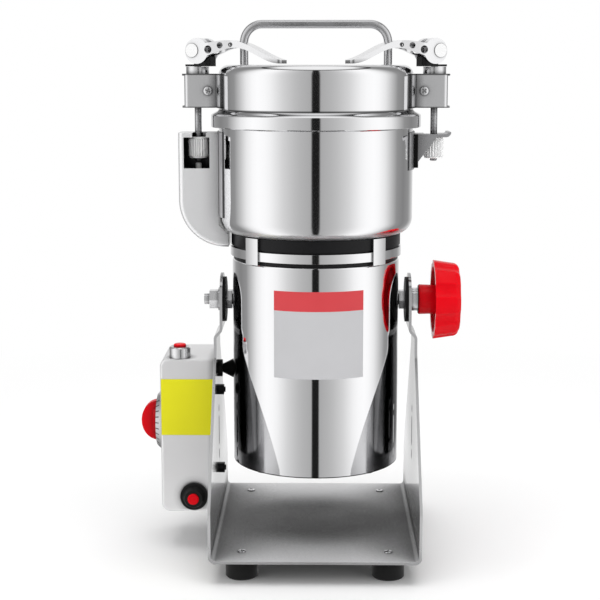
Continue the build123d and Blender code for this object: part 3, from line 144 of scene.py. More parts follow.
def ramp(tree, stops):
    """Colour ramp with the given (position, grey or colour) stops."""
    made = tree.nodes.new("ShaderNodeValToRGB")
    elements = made.color_ramp.elements
    while len(elements) < len(stops):
        elements.new(0.5)
    for element, (position, value) in zip(elements, stops):
        colour = value if isinstance(value, tuple) else (value, value, value)
        element.position = position
        element.color = (*colour, 1.0)
    return made


def math_node(tree, operation, first, second=None):
    """Output of a Math node. Each value is a number or another node's output."""
    made = tree.nodes.new("ShaderNodeMath")
    made.operation = operation
    for socket, value in zip(made.inputs, (first, second)):
        if value is None:
            continue
        if isinstance(value, (int, float)):
            socket.default_value = value
        else:
            tree.links.new(value, socket)
    return made.outputs[0]


def object_position(tree, centre=(0, 0, 0)):
    """Separate X, Y, Z of a point, measured from the centre."""
    place = tree.nodes.new("ShaderNodeTexCoord")
    shift = tree.nodes.new("ShaderNodeMapping")
    shift.inputs["Location"].default_value = [-v for v in centre]
    split = tree.nodes.new("ShaderNodeSeparateXYZ")
    tree.links.new(place.outputs["Object"], shift.inputs["Vector"])
    tree.links.new(shift.outputs["Vector"], split.inputs[0])
    return split


print("material helpers ready")

# %% [markdown]
# Polished steel shows little of itself and much of the room. The room here is a white floor and a round
# tent of cloth about the mill. The tent is bright at both sides, greyer in front and dark in one narrow
# slit before the lens, and that slit draws the dark line down the middle of every polished shell.
# A picture wrapped round the world would do it too, but a tent has a real place and height. Only mirror
# rays meet it. The lamps and the sky give the even light for everything else.

# %% Put up the tent
TENT_R = 0.50
TENT_TOP = 1.05
TENT_DIP = 0.1
TENT_SIDES = 128
TENT_GLOW = 1.15
# Each stop is the turn from the front, as a share of half a turn, and the brightness there.
TENT_STOPS = (
    (0.000, 0.012), (0.022, 0.012), (0.028, 0.40), (0.09, 0.46), (0.125, 0.51), (0.162, 0.58),
    (0.20, 0.66), (0.24, 0.78), (0.28, 0.90), (0.32, 0.97), (0.37, 1.00), (0.41, 0.96), (0.46, 0.82),
    (0.52, 0.53), (0.58, 0.28), (0.66, 0.22), (0.75, 0.28), (0.85, 0.60), (0.95, 0.78),
)


def room_glow(tree, where):
    """The tent's glow by the turn from the front, alike at both sides."""
    front = math_node(tree, "MULTIPLY", where.outputs["Y"], -1.0)
    turn = math_node(tree, "ARCTAN2", where.outputs["X"], front)
    size = math_node(tree, "ABSOLUTE", turn)
    glow_ramp = ramp(tree, TENT_STOPS)
    tree.links.new(math_node(tree, "DIVIDE", size, math.pi), glow_ramp.inputs[0])
    light = tree.nodes.new("ShaderNodeEmission")
    light.inputs["Strength"].default_value = TENT_GLOW
    tree.links.new(glow_ramp.outputs[0], light.inputs["Color"])
    return light


def hide_but_from_mirrors(card):
    """Let only mirror rays meet a piece of the room, and keep it out of the object."""
    card.visible_camera = False
    card.visible_diffuse = False
    card.visible_shadow = False
    card.visible_volume_scatter = False


bpy.ops.mesh.primitive_cylinder_add(
    vertices=TENT_SIDES, radius=TENT_R, depth=TENT_TOP + TENT_DIP, end_fill_type="NOTHING",
    location=(spindle_x, 0, (TENT_TOP - TENT_DIP) / 2))
tent = bpy.context.object
tent.name = "studio_tent"
cloth, tree = node_material("tent cloth")
out = tree.nodes.new("ShaderNodeOutputMaterial")
tree.links.new(room_glow(tree, object_position(tree)).outputs[0], out.inputs["Surface"])
tent.data.materials.append(cloth)
hide_but_from_mirrors(tent)
print("tent radius", TENT_R)

# %% [markdown]
# A sloping ring of cloth lies on top of the tent. It is dark where it starts and bright further in, and so
# the rounded shoulders of the polished pieces get a thin dark line above their sides.

# %% Lay a brow on the tent
BROW_H = 0.06
BROW_R = 0.34
BROW_STOPS = ((0.0, 0.02), (0.25, 0.10), (1.0, 0.95))
bpy.ops.mesh.primitive_cone_add(
    vertices=TENT_SIDES, radius1=TENT_R, radius2=BROW_R, depth=BROW_H, end_fill_type="NOTHING",
    location=(spindle_x, 0, TENT_TOP + BROW_H / 2))
brow = bpy.context.object
brow.name = "studio_tent_brow"
brow_cloth, tree = node_material("tent brow")
glow = tree.nodes.new("ShaderNodeEmission")
rise = ramp(tree, BROW_STOPS)
up = math_node(tree, "DIVIDE", object_position(tree).outputs["Z"], BROW_H)
tree.links.new(math_node(tree, "ADD", up, 0.5), rise.inputs[0])
tree.links.new(rise.outputs[0], glow.inputs["Color"])
out = tree.nodes.new("ShaderNodeOutputMaterial")
tree.links.new(glow.outputs[0], out.inputs["Surface"])
brow.data.materials.append(brow_cloth)
hide_but_from_mirrors(brow)
print("brow from radius", TENT_R, "to", BROW_R)

# %% [markdown]
# The floor is near white paper that turns wholly white further out, so that no horizon shows. A mirror sees
# it with the tent's own shades, which carries the streaks of the shells down to their lowest edge.

# %% Lay the floor
PAPER_SIZE = 16.0
PAPER_WHITE = 0.90
WHITE_FROM, WHITE_AT = 0.32, 0.80
FADE_SPAN = 2.0
bpy.ops.mesh.primitive_plane_add(size=PAPER_SIZE, location=(spindle_x, 0, cad_low.z))
floor = bpy.context.object
floor.name = "studio_floor"
paper, tree = node_material("floor paper")
shader = tree.nodes.new("ShaderNodeBsdfDiffuse")
shader.inputs["Color"].default_value = (PAPER_WHITE, PAPER_WHITE, PAPER_WHITE, 1)
where = object_position(tree)
across = math_node(tree, "MULTIPLY", where.outputs["X"], where.outputs["X"])
along = math_node(tree, "MULTIPLY", where.outputs["Y"], where.outputs["Y"])
away = math_node(tree, "SQRT", math_node(tree, "ADD", across, along))
fade = ramp(tree, ((WHITE_FROM / FADE_SPAN, 0.0), (WHITE_AT / FADE_SPAN, 1.0)))
tree.links.new(math_node(tree, "DIVIDE", away, FADE_SPAN), fade.inputs[0])
path = tree.nodes.new("ShaderNodeLightPath")
seen = math_node(tree, "MAXIMUM", path.outputs["Is Camera Ray"], path.outputs["Is Transmission Ray"])
far_white = math_node(tree, "MULTIPLY", fade.outputs[0], seen)
white = tree.nodes.new("ShaderNodeEmission")
white.inputs["Color"].default_value = (1, 1, 1, 1)
mix = tree.nodes.new("ShaderNodeMixShader")
mirrored = tree.nodes.new("ShaderNodeMixShader")
out = tree.nodes.new("ShaderNodeOutputMaterial")
tree.links.new(far_white, mix.inputs[0])
tree.links.new(shader.outputs[0], mix.inputs[1])
tree.links.new(white.outputs[0], mix.inputs[2])
tree.links.new(path.outputs["Is Glossy Ray"], mirrored.inputs[0])
tree.links.new(mix.outputs[0], mirrored.inputs[1])
tree.links.new(room_glow(tree, where).outputs[0], mirrored.inputs[2])
tree.links.new(mirrored.outputs[0], out.inputs["Surface"])
floor.data.materials.append(paper)
print("floor laid at", round(cad_low.z / MM, 2), "mm")

# %% [markdown]
# Three large soft lamps, one above and one at each side, give the even light of a catalogue picture. A
# smaller lamp would draw harder shadows than white cloth leaves. Mirror rays don't meet
# the lamps, because their square outlines would show on the shells.

# %% Hang the lamps
def soft_lamp(name, place, aim, size, watts):
    """Rectangular lamp turned to its aim and unseen by mirrors."""
    lamp = bpy.data.objects.new(name, bpy.data.lights.new(name, "AREA"))
    bpy.context.scene.collection.objects.link(lamp)
    lamp.data.shape = "RECTANGLE"
    lamp.data.size, lamp.data.size_y = size
    lamp.data.energy = watts
    lamp.location = place
    lamp.rotation_euler = (Vector(aim) - Vector(place)).to_track_quat("-Z", "Y").to_euler()
    lamp.visible_glossy = False


target = (spindle_x, 0, 0.18)
soft_lamp("lamp_top", (spindle_x, -0.1, 1.9), target, (1.6, 1.6), 24)
soft_lamp("lamp_left", (-1.6, -1.1, 0.9), target, (1.2, 1.4), 9)
soft_lamp("lamp_right", (1.6, -1.1, 0.9), target, (1.2, 1.4), 9)
print("lamps hung")

# %% [markdown]
# The sky fills what the lamps leave. It lights with about half the strength with which it shows, so that
# the background is pure white and the shadow on the paper still holds.

# %% Open the sky
SKY_LIGHT = 0.55
world = bpy.data.worlds.new("studio")
bpy.context.scene.world = world
world.use_nodes = True
tree = world.node_tree
tree.nodes.clear()
path = tree.nodes.new("ShaderNodeLightPath")
seen = math_node(tree, "MAXIMUM", path.outputs["Is Camera Ray"], path.outputs["Is Glossy Ray"])
seen = math_node(tree, "MAXIMUM", seen, path.outputs["Is Transmission Ray"])
sky = tree.nodes.new("ShaderNodeBackground")
sky.inputs["Color"].default_value = (1, 1, 1, 1)
sky.inputs["Strength"].default_value = SKY_LIGHT
shown = tree.nodes.new("ShaderNodeBackground")
shown.inputs["Color"].default_value = (1, 1, 1, 1)
shown.inputs["Strength"].default_value = 1.0
mix = tree.nodes.new("ShaderNodeMixShader")
out = tree.nodes.new("ShaderNodeOutputWorld")
tree.links.new(seen, mix.inputs[0])
tree.links.new(sky.outputs[0], mix.inputs[1])
tree.links.new(shown.outputs[0], mix.inputs[2])
tree.links.new(mix.outputs[0], out.inputs["Surface"])
bpy.context.scene.view_settings.view_transform = "Standard"
print("sky strength", SKY_LIGHT)

# %% [markdown]
# A mask is a value between zero and one that changes over a piece. Wherever a mask is one, the first helper
# lays another colour over a finish and the second gives it another roughness. The third reads how open the
# sky is above a point, which finds the creases and hollows, where shade is painted into the colour.

# %% Helpers that work on a finish through a mask
# Colour of the shade painted into creases and hollows.
PAINTED_SHADE = (0.006, 0.006, 0.007)


def paint_over(material, mask, colour):
    """Lay a colour over the base colour where the mask is one."""
    tree = material.node_tree
    base = tree.nodes["Principled BSDF"].inputs["Base Color"]
    cover = tree.nodes.new("ShaderNodeMix")
    cover.data_type = "RGBA"
    cover.inputs["B"].default_value = (*colour, 1)
    tree.links.new(mask, cover.inputs["Factor"])
    tree.links.new(base.links[0].from_socket, cover.inputs["A"])
    tree.links.new(cover.outputs["Result"], base)


def soften(material, mask, rough):
    """Give the surface this roughness where the mask is one."""
    tree = material.node_tree
    sheen = tree.nodes["Principled BSDF"].inputs["Roughness"]
    blend = tree.nodes.new("ShaderNodeMix")
    blend.inputs["B"].default_value = rough
    tree.links.new(mask, blend.inputs["Factor"])
    tree.links.new(sheen.links[0].from_socket, blend.inputs["A"])
    tree.links.new(blend.outputs["Result"], sheen)


def open_sky(material, reach):
    """One in the open, and less where other faces stand nearer than the reach."""
    sky = material.node_tree.nodes.new("ShaderNodeAmbientOcclusion")
    sky.samples = 8
    sky.inputs["Distance"].default_value = reach
    return sky.outputs["AO"]


print("mask helpers ready")

# %% [markdown]
# Every finish is one shader whose roughness wanders a little, because handled metal and moulded plastic
# are never even, and whose bump carries the grain. The numbers that differ are arguments, so that the
# finishes can be read as a table of what the maker did to the surface. A picture of real steel would be
# quicker, but noise needs no file and never repeats.

# %% A finish with its own grain
NOISE_LOW, NOISE_HIGH = 0.3, 0.7


def finish(name, colour, metal, rough, patch, grain, bump, tint, crease=0.0, crease_power=1.5,
           specular=0.5, stretch=(1, 1, 1)):
    """Shader with patchy roughness, a slight wander of colour, a grain and shade painted into its creases.
    """
    material, tree = node_material(name)
    shader = tree.nodes.new("ShaderNodeBsdfPrincipled")
    shader.inputs["Metallic"].default_value = metal
    shader.inputs["Specular IOR Level"].default_value = specular
    place = tree.nodes.new("ShaderNodeTexCoord")
    patches = tree.nodes.new("ShaderNodeTexNoise")
    patches.inputs["Scale"].default_value = patch
    patches.inputs["Detail"].default_value = 3.0
    tree.links.new(place.outputs["Object"], patches.inputs["Vector"])
    worn = tree.nodes.new("ShaderNodeMapRange")
    worn.inputs["From Min"].default_value = NOISE_LOW
    worn.inputs["From Max"].default_value = NOISE_HIGH
    worn.inputs["To Min"].default_value = rough[0]
    worn.inputs["To Max"].default_value = rough[1]
    tree.links.new(patches.outputs["Fac"], worn.inputs["Value"])
    tree.links.new(worn.outputs["Result"], shader.inputs["Roughness"])
    dark = tuple(v * (1 - tint) for v in colour)
    shade = ramp(tree, ((NOISE_LOW, dark), (NOISE_HIGH, colour)))
    tree.links.new(patches.outputs["Fac"], shade.inputs[0])
    tree.links.new(shade.outputs[0], shader.inputs["Base Color"])
    shift = tree.nodes.new("ShaderNodeMapping")
    shift.inputs["Scale"].default_value = stretch
    fine = tree.nodes.new("ShaderNodeTexNoise")
    fine.inputs["Scale"].default_value = grain
    fine.inputs["Detail"].default_value = 2.0
    tree.links.new(place.outputs["Object"], shift.inputs["Vector"])
    tree.links.new(shift.outputs["Vector"], fine.inputs["Vector"])
    relief = tree.nodes.new("ShaderNodeBump")
    relief.inputs["Strength"].default_value = bump
    relief.inputs["Distance"].default_value = 0.4 * MM
    tree.links.new(fine.outputs["Fac"], relief.inputs["Height"])
    tree.links.new(relief.outputs["Normal"], shader.inputs["Normal"])
    out = tree.nodes.new("ShaderNodeOutputMaterial")
    tree.links.new(shader.outputs[0], out.inputs["Surface"])
    # Painted shade: the base colour darkens where other faces close off the sky within the crease reach.
    if crease:
        light = math_node(tree, "POWER", open_sky(material, crease), crease_power)
        paint_over(material, math_node(tree, "SUBTRACT", 1.0, light), PAINTED_SHADE)
    return material


def mirror_steel(name, rough=(0.035, 0.09), bump=0.008):
    """Spun and polished steel, with its grain drawn out along the turn."""
    return finish(name, (0.86, 0.86, 0.87), 1.0, rough, 14, 260, bump, 0.02, stretch=(0.06, 0.06, 5))


print("finish helpers ready")

# %% [markdown]
# Most of the mill is steel in several states: polished shells, satin and folded sheet, plated castings and
# turned parts. They differ in how far the roughness spreads, how fine the grain is and how dark the shade
# painted into their creases gets, so each is one row. The coated box, the housing and the zinc are only
# partly metal, which keeps them pale whatever they mirror.

# %% The steels
# A row holds the colour, the share of metal, the least and most roughness, the scales of the patches and of
# the grain, the bump, the tint, and the reach in metres and the power of the shade painted into the
# creases.
polished = mirror_steel("polished steel")
satin = finish("satin steel", (0.66, 0.66, 0.67), 1.0, (0.28, 0.40), 22, 1500, 0.08, 0.05, 0.004)
housing_steel = finish(
    "housing steel", (0.90, 0.90, 0.91), 0.65, (0.23, 0.27), 12, 1500, 0.04, 0.02, 0.014, 1.5)
bracket_steel = finish(
    "bracket steel", (0.78, 0.78, 0.79), 1.0, (0.16, 0.24), 22, 1500, 0.04, 0.03, 0.007, 2.4)
catch_steel = finish(
    "catch steel", (0.52, 0.52, 0.53), 1.0, (0.24, 0.34), 26, 1500, 0.06, 0.06, 0.012, 2.0)
zinc = finish("zinc plate", (0.98, 0.98, 0.98), 0.1, (0.24, 0.36), 90, 900, 0.10, 0.02, 0.0008, 1.5)
box_steel = finish(
    "coated box steel", (0.81, 0.805, 0.81), 0.6, (0.30, 0.38), 18, 1700, 0.06, 0.03, 0.006)
cast = finish("plated casting", (0.84, 0.84, 0.85), 1.0, (0.10, 0.24), 60, 240, 0.10, 0.05, 0.005, 2.0)
bright = finish("bright steel", (0.80, 0.80, 0.81), 1.0, (0.14, 0.26), 80, 900, 0.06, 0.05, 0.003)
bar_steel = finish("drawn bar", (0.62, 0.62, 0.63), 1.0, (0.24, 0.32), 80, 900, 0.05, 0.05)
dial = finish("turned aluminium", (0.82, 0.82, 0.83), 1.0, (0.22, 0.34), 60, 1500, 0.06, 0.04)
print("steels:", [m.name for m in bpy.data.materials if "steel" in m.name])

# %% [markdown]
# Black and red parts have no metal in them. Their gloss is held down by a low specular value, because black
# under a bright sky turns grey long before it looks glossy. The films of the labels are a little rougher.

# %% The plastics, the rubber and the films
black_steel = finish(
    "black steel", (0.012, 0.012, 0.013), 0.0, (0.30, 0.45), 60, 1400, 0.10, 0.2, specular=0.18)
black_plastic = finish(
    "black plastic", (0.010, 0.010, 0.011), 0.0, (0.28, 0.42), 50, 1800, 0.08, 0.2, specular=0.18)
rubber = finish(
    "black rubber", (0.010, 0.010, 0.010), 0.0, (0.45, 0.65), 70, 1400, 0.20, 0.25, specular=0.20)
red_plastic = finish(
    "red plastic", (0.80, 0.001, 0.008), 0.0, (0.16, 0.28), 40, 420, 0.04, 0.10, 0.010, 1.2, specular=0.10)
white_plastic = finish("white plastic", (0.94, 0.94, 0.92), 0.0, (0.25, 0.4), 60, 900, 0.05, 0.04)
silicone = finish("white silicone", (0.74, 0.74, 0.71), 0.0, (0.45, 0.65), 60, 900, 0.03, 0.05)
yellow_film = finish(
    "yellow film", (0.80, 0.76, 0.006), 0.0, (0.35, 0.5), 40, 1200, 0.02, 0.03, specular=0.25)
red_film = finish("red film", (0.66, 0.06, 0.07), 0.0, (0.3, 0.45), 40, 1200, 0.02, 0.03, specular=0.25)
grey_film = finish(
    "silver film", (0.56, 0.56, 0.575), 0.0, (0.3, 0.45), 40, 1200, 0.02, 0.03, specular=0.25)
print("films:", [m.name for m in bpy.data.materials if "film" in m.name])

# %% [markdown]
# The motor inside has finishes too. Its stack of sheets and its windings get a stretched grain, which reads
# as thin layers in one and as wire in the other without a single extra facet.

# %% The motor's finishes
laminated = finish(
    "laminations", (0.20, 0.20, 0.21), 0.9, (0.35, 0.55), 50, 300, 0.6, 0.3, stretch=(0.05, 0.05, 8))
copper = finish(
    "copper winding", (0.62, 0.24, 0.09), 0.9, (0.22, 0.4), 60, 300, 0.6, 0.25, stretch=(0.2, 0.2, 6))
carbon = finish("carbon", (0.05, 0.05, 0.052), 0.0, (0.5, 0.7), 80, 1600, 0.2, 0.3)
cast_alu = finish("cast aluminium", (0.50, 0.50, 0.51), 1.0, (0.40, 0.58), 50, 800, 0.3, 0.12)
fan_plastic = finish("fan plastic", (0.07, 0.07, 0.08), 0.0, (0.4, 0.55), 60, 1200, 0.1, 0.2)
by_slot = {
    "polished_steel": polished, "satin_steel": satin, "cast_lever": cast, "bright_steel": bright,
    "black_steel": black_steel, "black_plastic": black_plastic, "black_rubber": rubber,
    "red_plastic": red_plastic, "dial_aluminium": dial, "white_plastic": white_plastic,
    "white_silicone": silicone, "lamination_steel": laminated, "copper": copper, "carbon": carbon,
    "cast_aluminium": cast_alu, "fan_plastic": fan_plastic,
}
print("finishes:", len(by_slot))

# %% [markdown]
# Some pieces need more than one even finish, because they were polished or rolled only in one place, and
# some get painted shade in one place. Two masks find such places: one runs along an axis, and one finds
# hollows and what lies under a roof, where painted shade goes. Painting the faces by hand would work too,
# but a mask follows the model when its size changes.

# %% Masks over a piece
def share_along(material, low, high, axis="Z"):
    """Zero before one place on the axis and one past the other."""
    tree = material.node_tree
    share = tree.nodes.new("ShaderNodeMapRange")
    share.inputs["From Min"].default_value = low
    share.inputs["From Max"].default_value = high
    tree.links.new(object_position(tree).outputs[axis], share.inputs["Value"])
    return share.outputs["Result"]


def hollow_share(material, reach, open_at, shut_at):
    """Zero where the sky is open and one deep in a hollow or under a roof."""
    tree = material.node_tree
    sky = open_sky(material, reach)
    share = tree.nodes.new("ShaderNodeMapRange")
    share.inputs["From Min"].default_value = open_at
    share.inputs["From Max"].default_value = shut_at
    tree.links.new(sky, share.inputs["Value"])
    return share.outputs["Result"]


print("masks ready")

# %% [markdown]
# The stand is polished on its arms and satin on its plate, and a painted shadow of the can above darkens
# the plate's middle. The pressed housing is hollow, and painted shade darkens its inside, which its window
# shows.

# %% The stand and the housing
PLATE_END = 19 * MM
ARM_START = 32 * MM
ARM_ROUGH = 0.13
PLATE_METAL = 0.55
NEAR_BLACK = (0.03, 0.03, 0.03)
stand_steel = finish(
    "stand steel", (0.88, 0.88, 0.89), 1.0, (0.42, 0.52), 22, 1500, 0.03, 0.04, 0.045, 1.3)
tree = stand_steel.node_tree
arm_share = share_along(stand_steel, PLATE_END, ARM_START)
soften(stand_steel, arm_share, ARM_ROUGH)
metal_share = tree.nodes.new("ShaderNodeMapRange")
metal_share.inputs["To Min"].default_value = PLATE_METAL
tree.links.new(arm_share, metal_share.inputs["Value"])
tree.links.new(metal_share.outputs["Result"], tree.nodes["Principled BSDF"].inputs["Metallic"])
on_plate = math_node(tree, "SUBTRACT", 1.0, arm_share)
# Painted shadow of the can: the plate turns near black where the can above closes off the sky.
shadow_under_can = hollow_share(stand_steel, reach=120 * MM, open_at=0.74, shut_at=0.27)
paint_over(stand_steel, math_node(tree, "MULTIPLY", shadow_under_can, on_plate), NEAR_BLACK)
# Painted shade inside the housing, where its walls close off the sky.
paint_over(housing_steel, hollow_share(housing_steel, reach=30 * MM, open_at=0.50, shut_at=0.25), PAINTED_SHADE)
print("stand turns from satin to polish at", round(PLATE_END / MM), "to", round(ARM_START / MM), "mm")

# %% [markdown]
# The clamp rods carry a rolled thread, and their cross barrels above it are bright. At this size a thread
# is a fine ripple, so a sine along the rod drives the bump and no ridge has to be modelled.

# %% The threaded rods
PITCH = 1.0 * MM
rod_steel = finish(
    "threaded rod", (0.52, 0.52, 0.53), 1.0, (0.20, 0.32), 80, 900, 0.05, 0.05, 0.006)
tree = rod_steel.node_tree
along_rod = object_position(tree).outputs["Z"]
ridges = math_node(tree, "SINE", math_node(tree, "MULTIPLY", along_rod, math.tau / PITCH))
relief = tree.nodes["Bump"]
relief.inputs["Strength"].default_value = 0.3
tree.links.new(ridges, relief.inputs["Height"])
barrel_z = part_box("left_saddle")[1].z
paint_over(rod_steel, share_along(rod_steel, barrel_z - 1 * MM, barrel_z), (0.90, 0.90, 0.90))
print("thread of", PITCH / MM, "mm up to", round(barrel_z / MM, 1), "mm")

# %% [markdown]
# The timer dial has engraved marks round its face. The turn about its axle, cut into equal steps, gives the
# marks, and the distance from the axle keeps them in one band. They turn with the dial.

# %% The timer dial
MARKS = 30
MARK_WIDTH = 0.16
BAND_FROM, BAND_TO = 0.80, 0.93
FREE_TURN = 0.5
skirt_low, skirt_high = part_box("timer_skirt")
dial_r = (skirt_high.z - skirt_low.z) / 2
tree = dial.node_tree
where = object_position(tree, (skirt_low + skirt_high) / 2)
turn = math_node(tree, "ARCTAN2", where.outputs["Y"], where.outputs["Z"])
steps = math_node(tree, "MULTIPLY", turn, MARKS / math.tau)
step = math_node(tree, "FRACT", math_node(tree, "ADD", steps, MARKS + MARK_WIDTH / 2))
mark = math_node(tree, "LESS_THAN", step, MARK_WIDTH)
square_y = math_node(tree, "MULTIPLY", where.outputs["Y"], where.outputs["Y"])
square_z = math_node(tree, "MULTIPLY", where.outputs["Z"], where.outputs["Z"])
away = math_node(tree, "SQRT", math_node(tree, "ADD", square_y, square_z))
past_band = math_node(tree, "GREATER_THAN", away, dial_r * BAND_FROM)
in_band = math_node(tree, "MULTIPLY", past_band, math_node(tree, "LESS_THAN", away, dial_r * BAND_TO))
clear = math_node(tree, "GREATER_THAN", math_node(tree, "ABSOLUTE", turn), FREE_TURN)
mark = math_node(tree, "MULTIPLY", mark, math_node(tree, "MULTIPLY", in_band, clear))
paint_over(dial, mark, (0.01, 0.01, 0.01))
print("marks on a dial of radius", round(dial_r / MM, 1), "mm")

# %% [markdown]
# Three shells are polished like mirrors. The lid gets a painted dark line of shade in the crease above its
# flare, the bowl a dull underside below its corner that the buffing wheel doesn't reach, and the can a
# painted dark line of shade along its lower edge.

# %% The polished shells
lid_steel = mirror_steel("polished lid", (0.035, 0.08), 0.006)
tree = lid_steel.node_tree
crease_z = lid_low.z + 12.3 * MM
into = share_along(lid_steel, crease_z - 1.1 * MM, crease_z - 0.5 * MM)
past = share_along(lid_steel, crease_z + 0.2 * MM, crease_z + 0.9 * MM)
crease_shade_line = math_node(tree, "MULTIPLY", math_node(tree, "SUBTRACT", into, past), 0.85)
# Painted shade: a dark line in the crease above the flare.
paint_over(lid_steel, crease_shade_line, (0.02, 0.02, 0.02))

DULL = 0.42
bowl_steel = mirror_steel("polished bowl")
soften(bowl_steel, share_along(bowl_steel, bowl_low.z + 6 * MM, bowl_low.z + 3 * MM), DULL)

can_steel = mirror_steel("polished can")
# Painted shade: a dark line along the lower edge of the can.
paint_over(can_steel, share_along(can_steel, can_low.z + 0.9 * MM, can_low.z + 0.6 * MM), NEAR_BLACK)
print("lid crease at", round(crease_z / MM, 1), "mm")

# %% [markdown]
# The clamp blocks get painted shade, a dark line along their upper and lower edges. The catch gets
# painted shade along the plate that was welded to the bowl, where the gap behind it lies.

# %% The clamp blocks and the catch
block_low, block_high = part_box("clamp_blocks")
tree = bracket_steel.node_tree
edge_low = share_along(bracket_steel, block_low.z + 1.0 * MM, block_low.z + 0.5 * MM)
edge_high = share_along(bracket_steel, block_high.z - 1.2 * MM, block_high.z - 0.7 * MM)
# Painted shade: dark lines along the upper and lower edges of the blocks.
edge_shade = math_node(tree, "MULTIPLY", math_node(tree, "MAXIMUM", edge_low, edge_high), 0.8)
paint_over(bracket_steel, edge_shade, NEAR_BLACK)
catch_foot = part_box("catch_bracket")[0].x
# Painted shade: a dark band along the plate where it meets the bowl.
gap_shade = share_along(catch_steel, catch_foot + 3.2 * MM, catch_foot + 2.6 * MM, "X")
paint_over(catch_steel, gap_shade, (0.015, 0.015, 0.015))
print("catch plate from x", round(catch_foot / MM, 1), "mm")

# %% [markdown]
# Each CAD piece arrives with the name of its finish, so one loop dresses them all, and a short table names
# the pieces that differ. A material added to each piece by hand would do the same in sixty steps.

# %% Dress the CAD pieces
own_finish = {
    "switch_box": box_steel, "base_frame": stand_steel, "interlock_housing": housing_steel,
    "lid_brackets": bracket_steel, "clamp_blocks": bracket_steel, "catch_bracket": catch_steel,
    "lid_handle": bar_steel, "left_rod": rod_steel, "right_rod": rod_steel, "lid_shell": lid_steel,
    "motor_can": can_steel, "bowl": bowl_steel,
}
slot_name = {}
for name, node in nodes.items():
    slot_name[name] = node.material_slots[0].material.name.split(".")[0]
    for place in node.material_slots:
        place.material = own_finish.get(name) or by_slot[slot_name[name]]
print("dressed", len(nodes))

# %% [markdown]
# Every tool in Blender acts on what is selected, so the first helper picks up one piece and lets go of all
# others. The next ones open it for shaping, put it down finished and measure it. The last one lets a new
# piece stand in the place of a CAD piece, on the same moving body and with the same finish.

# %% Helpers for picking up and putting down
def pick(piece):
    """Select this piece alone."""
    bpy.ops.object.select_all(action="DESELECT")
    piece.select_set(True)
    bpy.context.view_layer.objects.active = piece


def edit(piece, select="DESELECT"):
    """Open a piece in edit mode with nothing or all of it selected."""
    pick(piece)
    bpy.ops.object.mode_set(mode="EDIT")
    bpy.ops.mesh.select_all(action=select)


def settle(piece, smooth_deg=35.0):
    """Leave edit mode, put the place into the mesh and smooth all but the sharp edges."""
    if piece.mode == "EDIT":
        bpy.ops.object.mode_set(mode="OBJECT")
    pick(piece)
    bpy.ops.object.transform_apply(location=True, rotation=True, scale=True)
    bpy.ops.object.shade_smooth_by_angle(angle=math.radians(smooth_deg))
    return piece


def box_of(piece):
    """Lowest and highest corner of a piece's mesh."""
    points = [v.co for v in piece.data.vertices]
    return [Vector(map(f, zip(*points))) for f in (min, max)]


def stand_in(piece, node, coat=None):
    """Let a new piece stand for a CAD node, in the node's finish."""
    piece.data.materials.clear()
    piece.data.materials.append(coat or own_finish.get(node) or by_slot[slot_name[node]])
    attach(piece, nodes[node]["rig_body"])
    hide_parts(node)
    return piece


print("bench helpers ready")

# %% [markdown]
# Round shells are spun on a lathe, and this helper does the same: it starts from a circle and extrudes it
# from point to point of a profile, wider or narrower at each step. The Spin tool would turn a profile too,
# but it leaves a seam to close. A second helper gives the points of an arc for the rounded corners.

# %% Helpers for turning
def turned(name, profile, x=None, y=0.0, steps=192, closed=True):
    """Extrude a circle from point to point of a (radius, height) profile about an upright axis."""
    x = spindle_x if x is None else x
    radius, height = profile[0]
    bpy.ops.object.select_all(action="DESELECT")
    bpy.ops.mesh.primitive_circle_add(vertices=steps, radius=radius, location=(x, y, height))
    piece = bpy.context.object
    piece.name = name
    edit(piece, "SELECT")
    for next_radius, next_height in list(profile[1:]) + ([profile[0]] if closed else []):
        bpy.ops.mesh.extrude_edges_move(TRANSFORM_OT_translate={"value": (0, 0, next_height - height)})
        growth = next_radius / radius
        bpy.ops.transform.resize(value=(growth, growth, 1), center_override=(x, y, next_height))
        radius, height = next_radius, next_height
    bpy.ops.mesh.select_all(action="SELECT")
    bpy.ops.mesh.remove_doubles(threshold=2e-5)
    bpy.ops.mesh.normals_make_consistent(inside=False)
    return settle(piece)


def bend(centre, radius, start_deg, end_deg, steps=8):
    """Points of an arc in the profile, as (radius, height)."""
    turns = [math.radians(start_deg + (end_deg - start_deg) * i / steps) for i in range(steps + 1)]
    return [(centre[0] + radius * math.cos(t), centre[1] + radius * math.sin(t)) for t in turns]


print("lathe ready")

# %% [markdown]
# The bowl is a deep drawn cup of thin steel with a soft lower corner. Turned as a lathe would, with many
# more facets than the CAD mesh, its mirror keeps straight reflections.

# %% Turn the bowl
WALL = 1.5 * MM
CORNER_R = 11.0 * MM
SEAL_R = 9.0 * MM
BOWL_FLOOR = 3.0 * MM
bottom, top = bowl_low.z, bowl_high.z
corner_in = bowl_r - CORNER_R
bowl_profile = [(SEAL_R, bottom)]
bowl_profile += bend((corner_in, bottom + CORNER_R), CORNER_R, -90, 0, 12)
bowl_profile += bend((bowl_r - WALL / 2, top - WALL / 2), WALL / 2, 0, 180, 6)
bowl_profile += bend((corner_in, bottom + BOWL_FLOOR + CORNER_R - WALL), CORNER_R - WALL, 0, -90, 10)
bowl_profile += [(SEAL_R, bottom + BOWL_FLOOR)]
bowl = stand_in(turned("bowl_turned", bowl_profile), "bowl")
print("bowl faces", len(bowl.data.polygons))

# %% [markdown]
# The lid is spun too. Its side swells out over the rim of the bowl in a soft S and ends in a straight
# skirt, and a flat S keeps the bright line that runs round it there. A Bevel on a plain step would give a
# round corner and no S, so the points of a half wave of cosine are used.

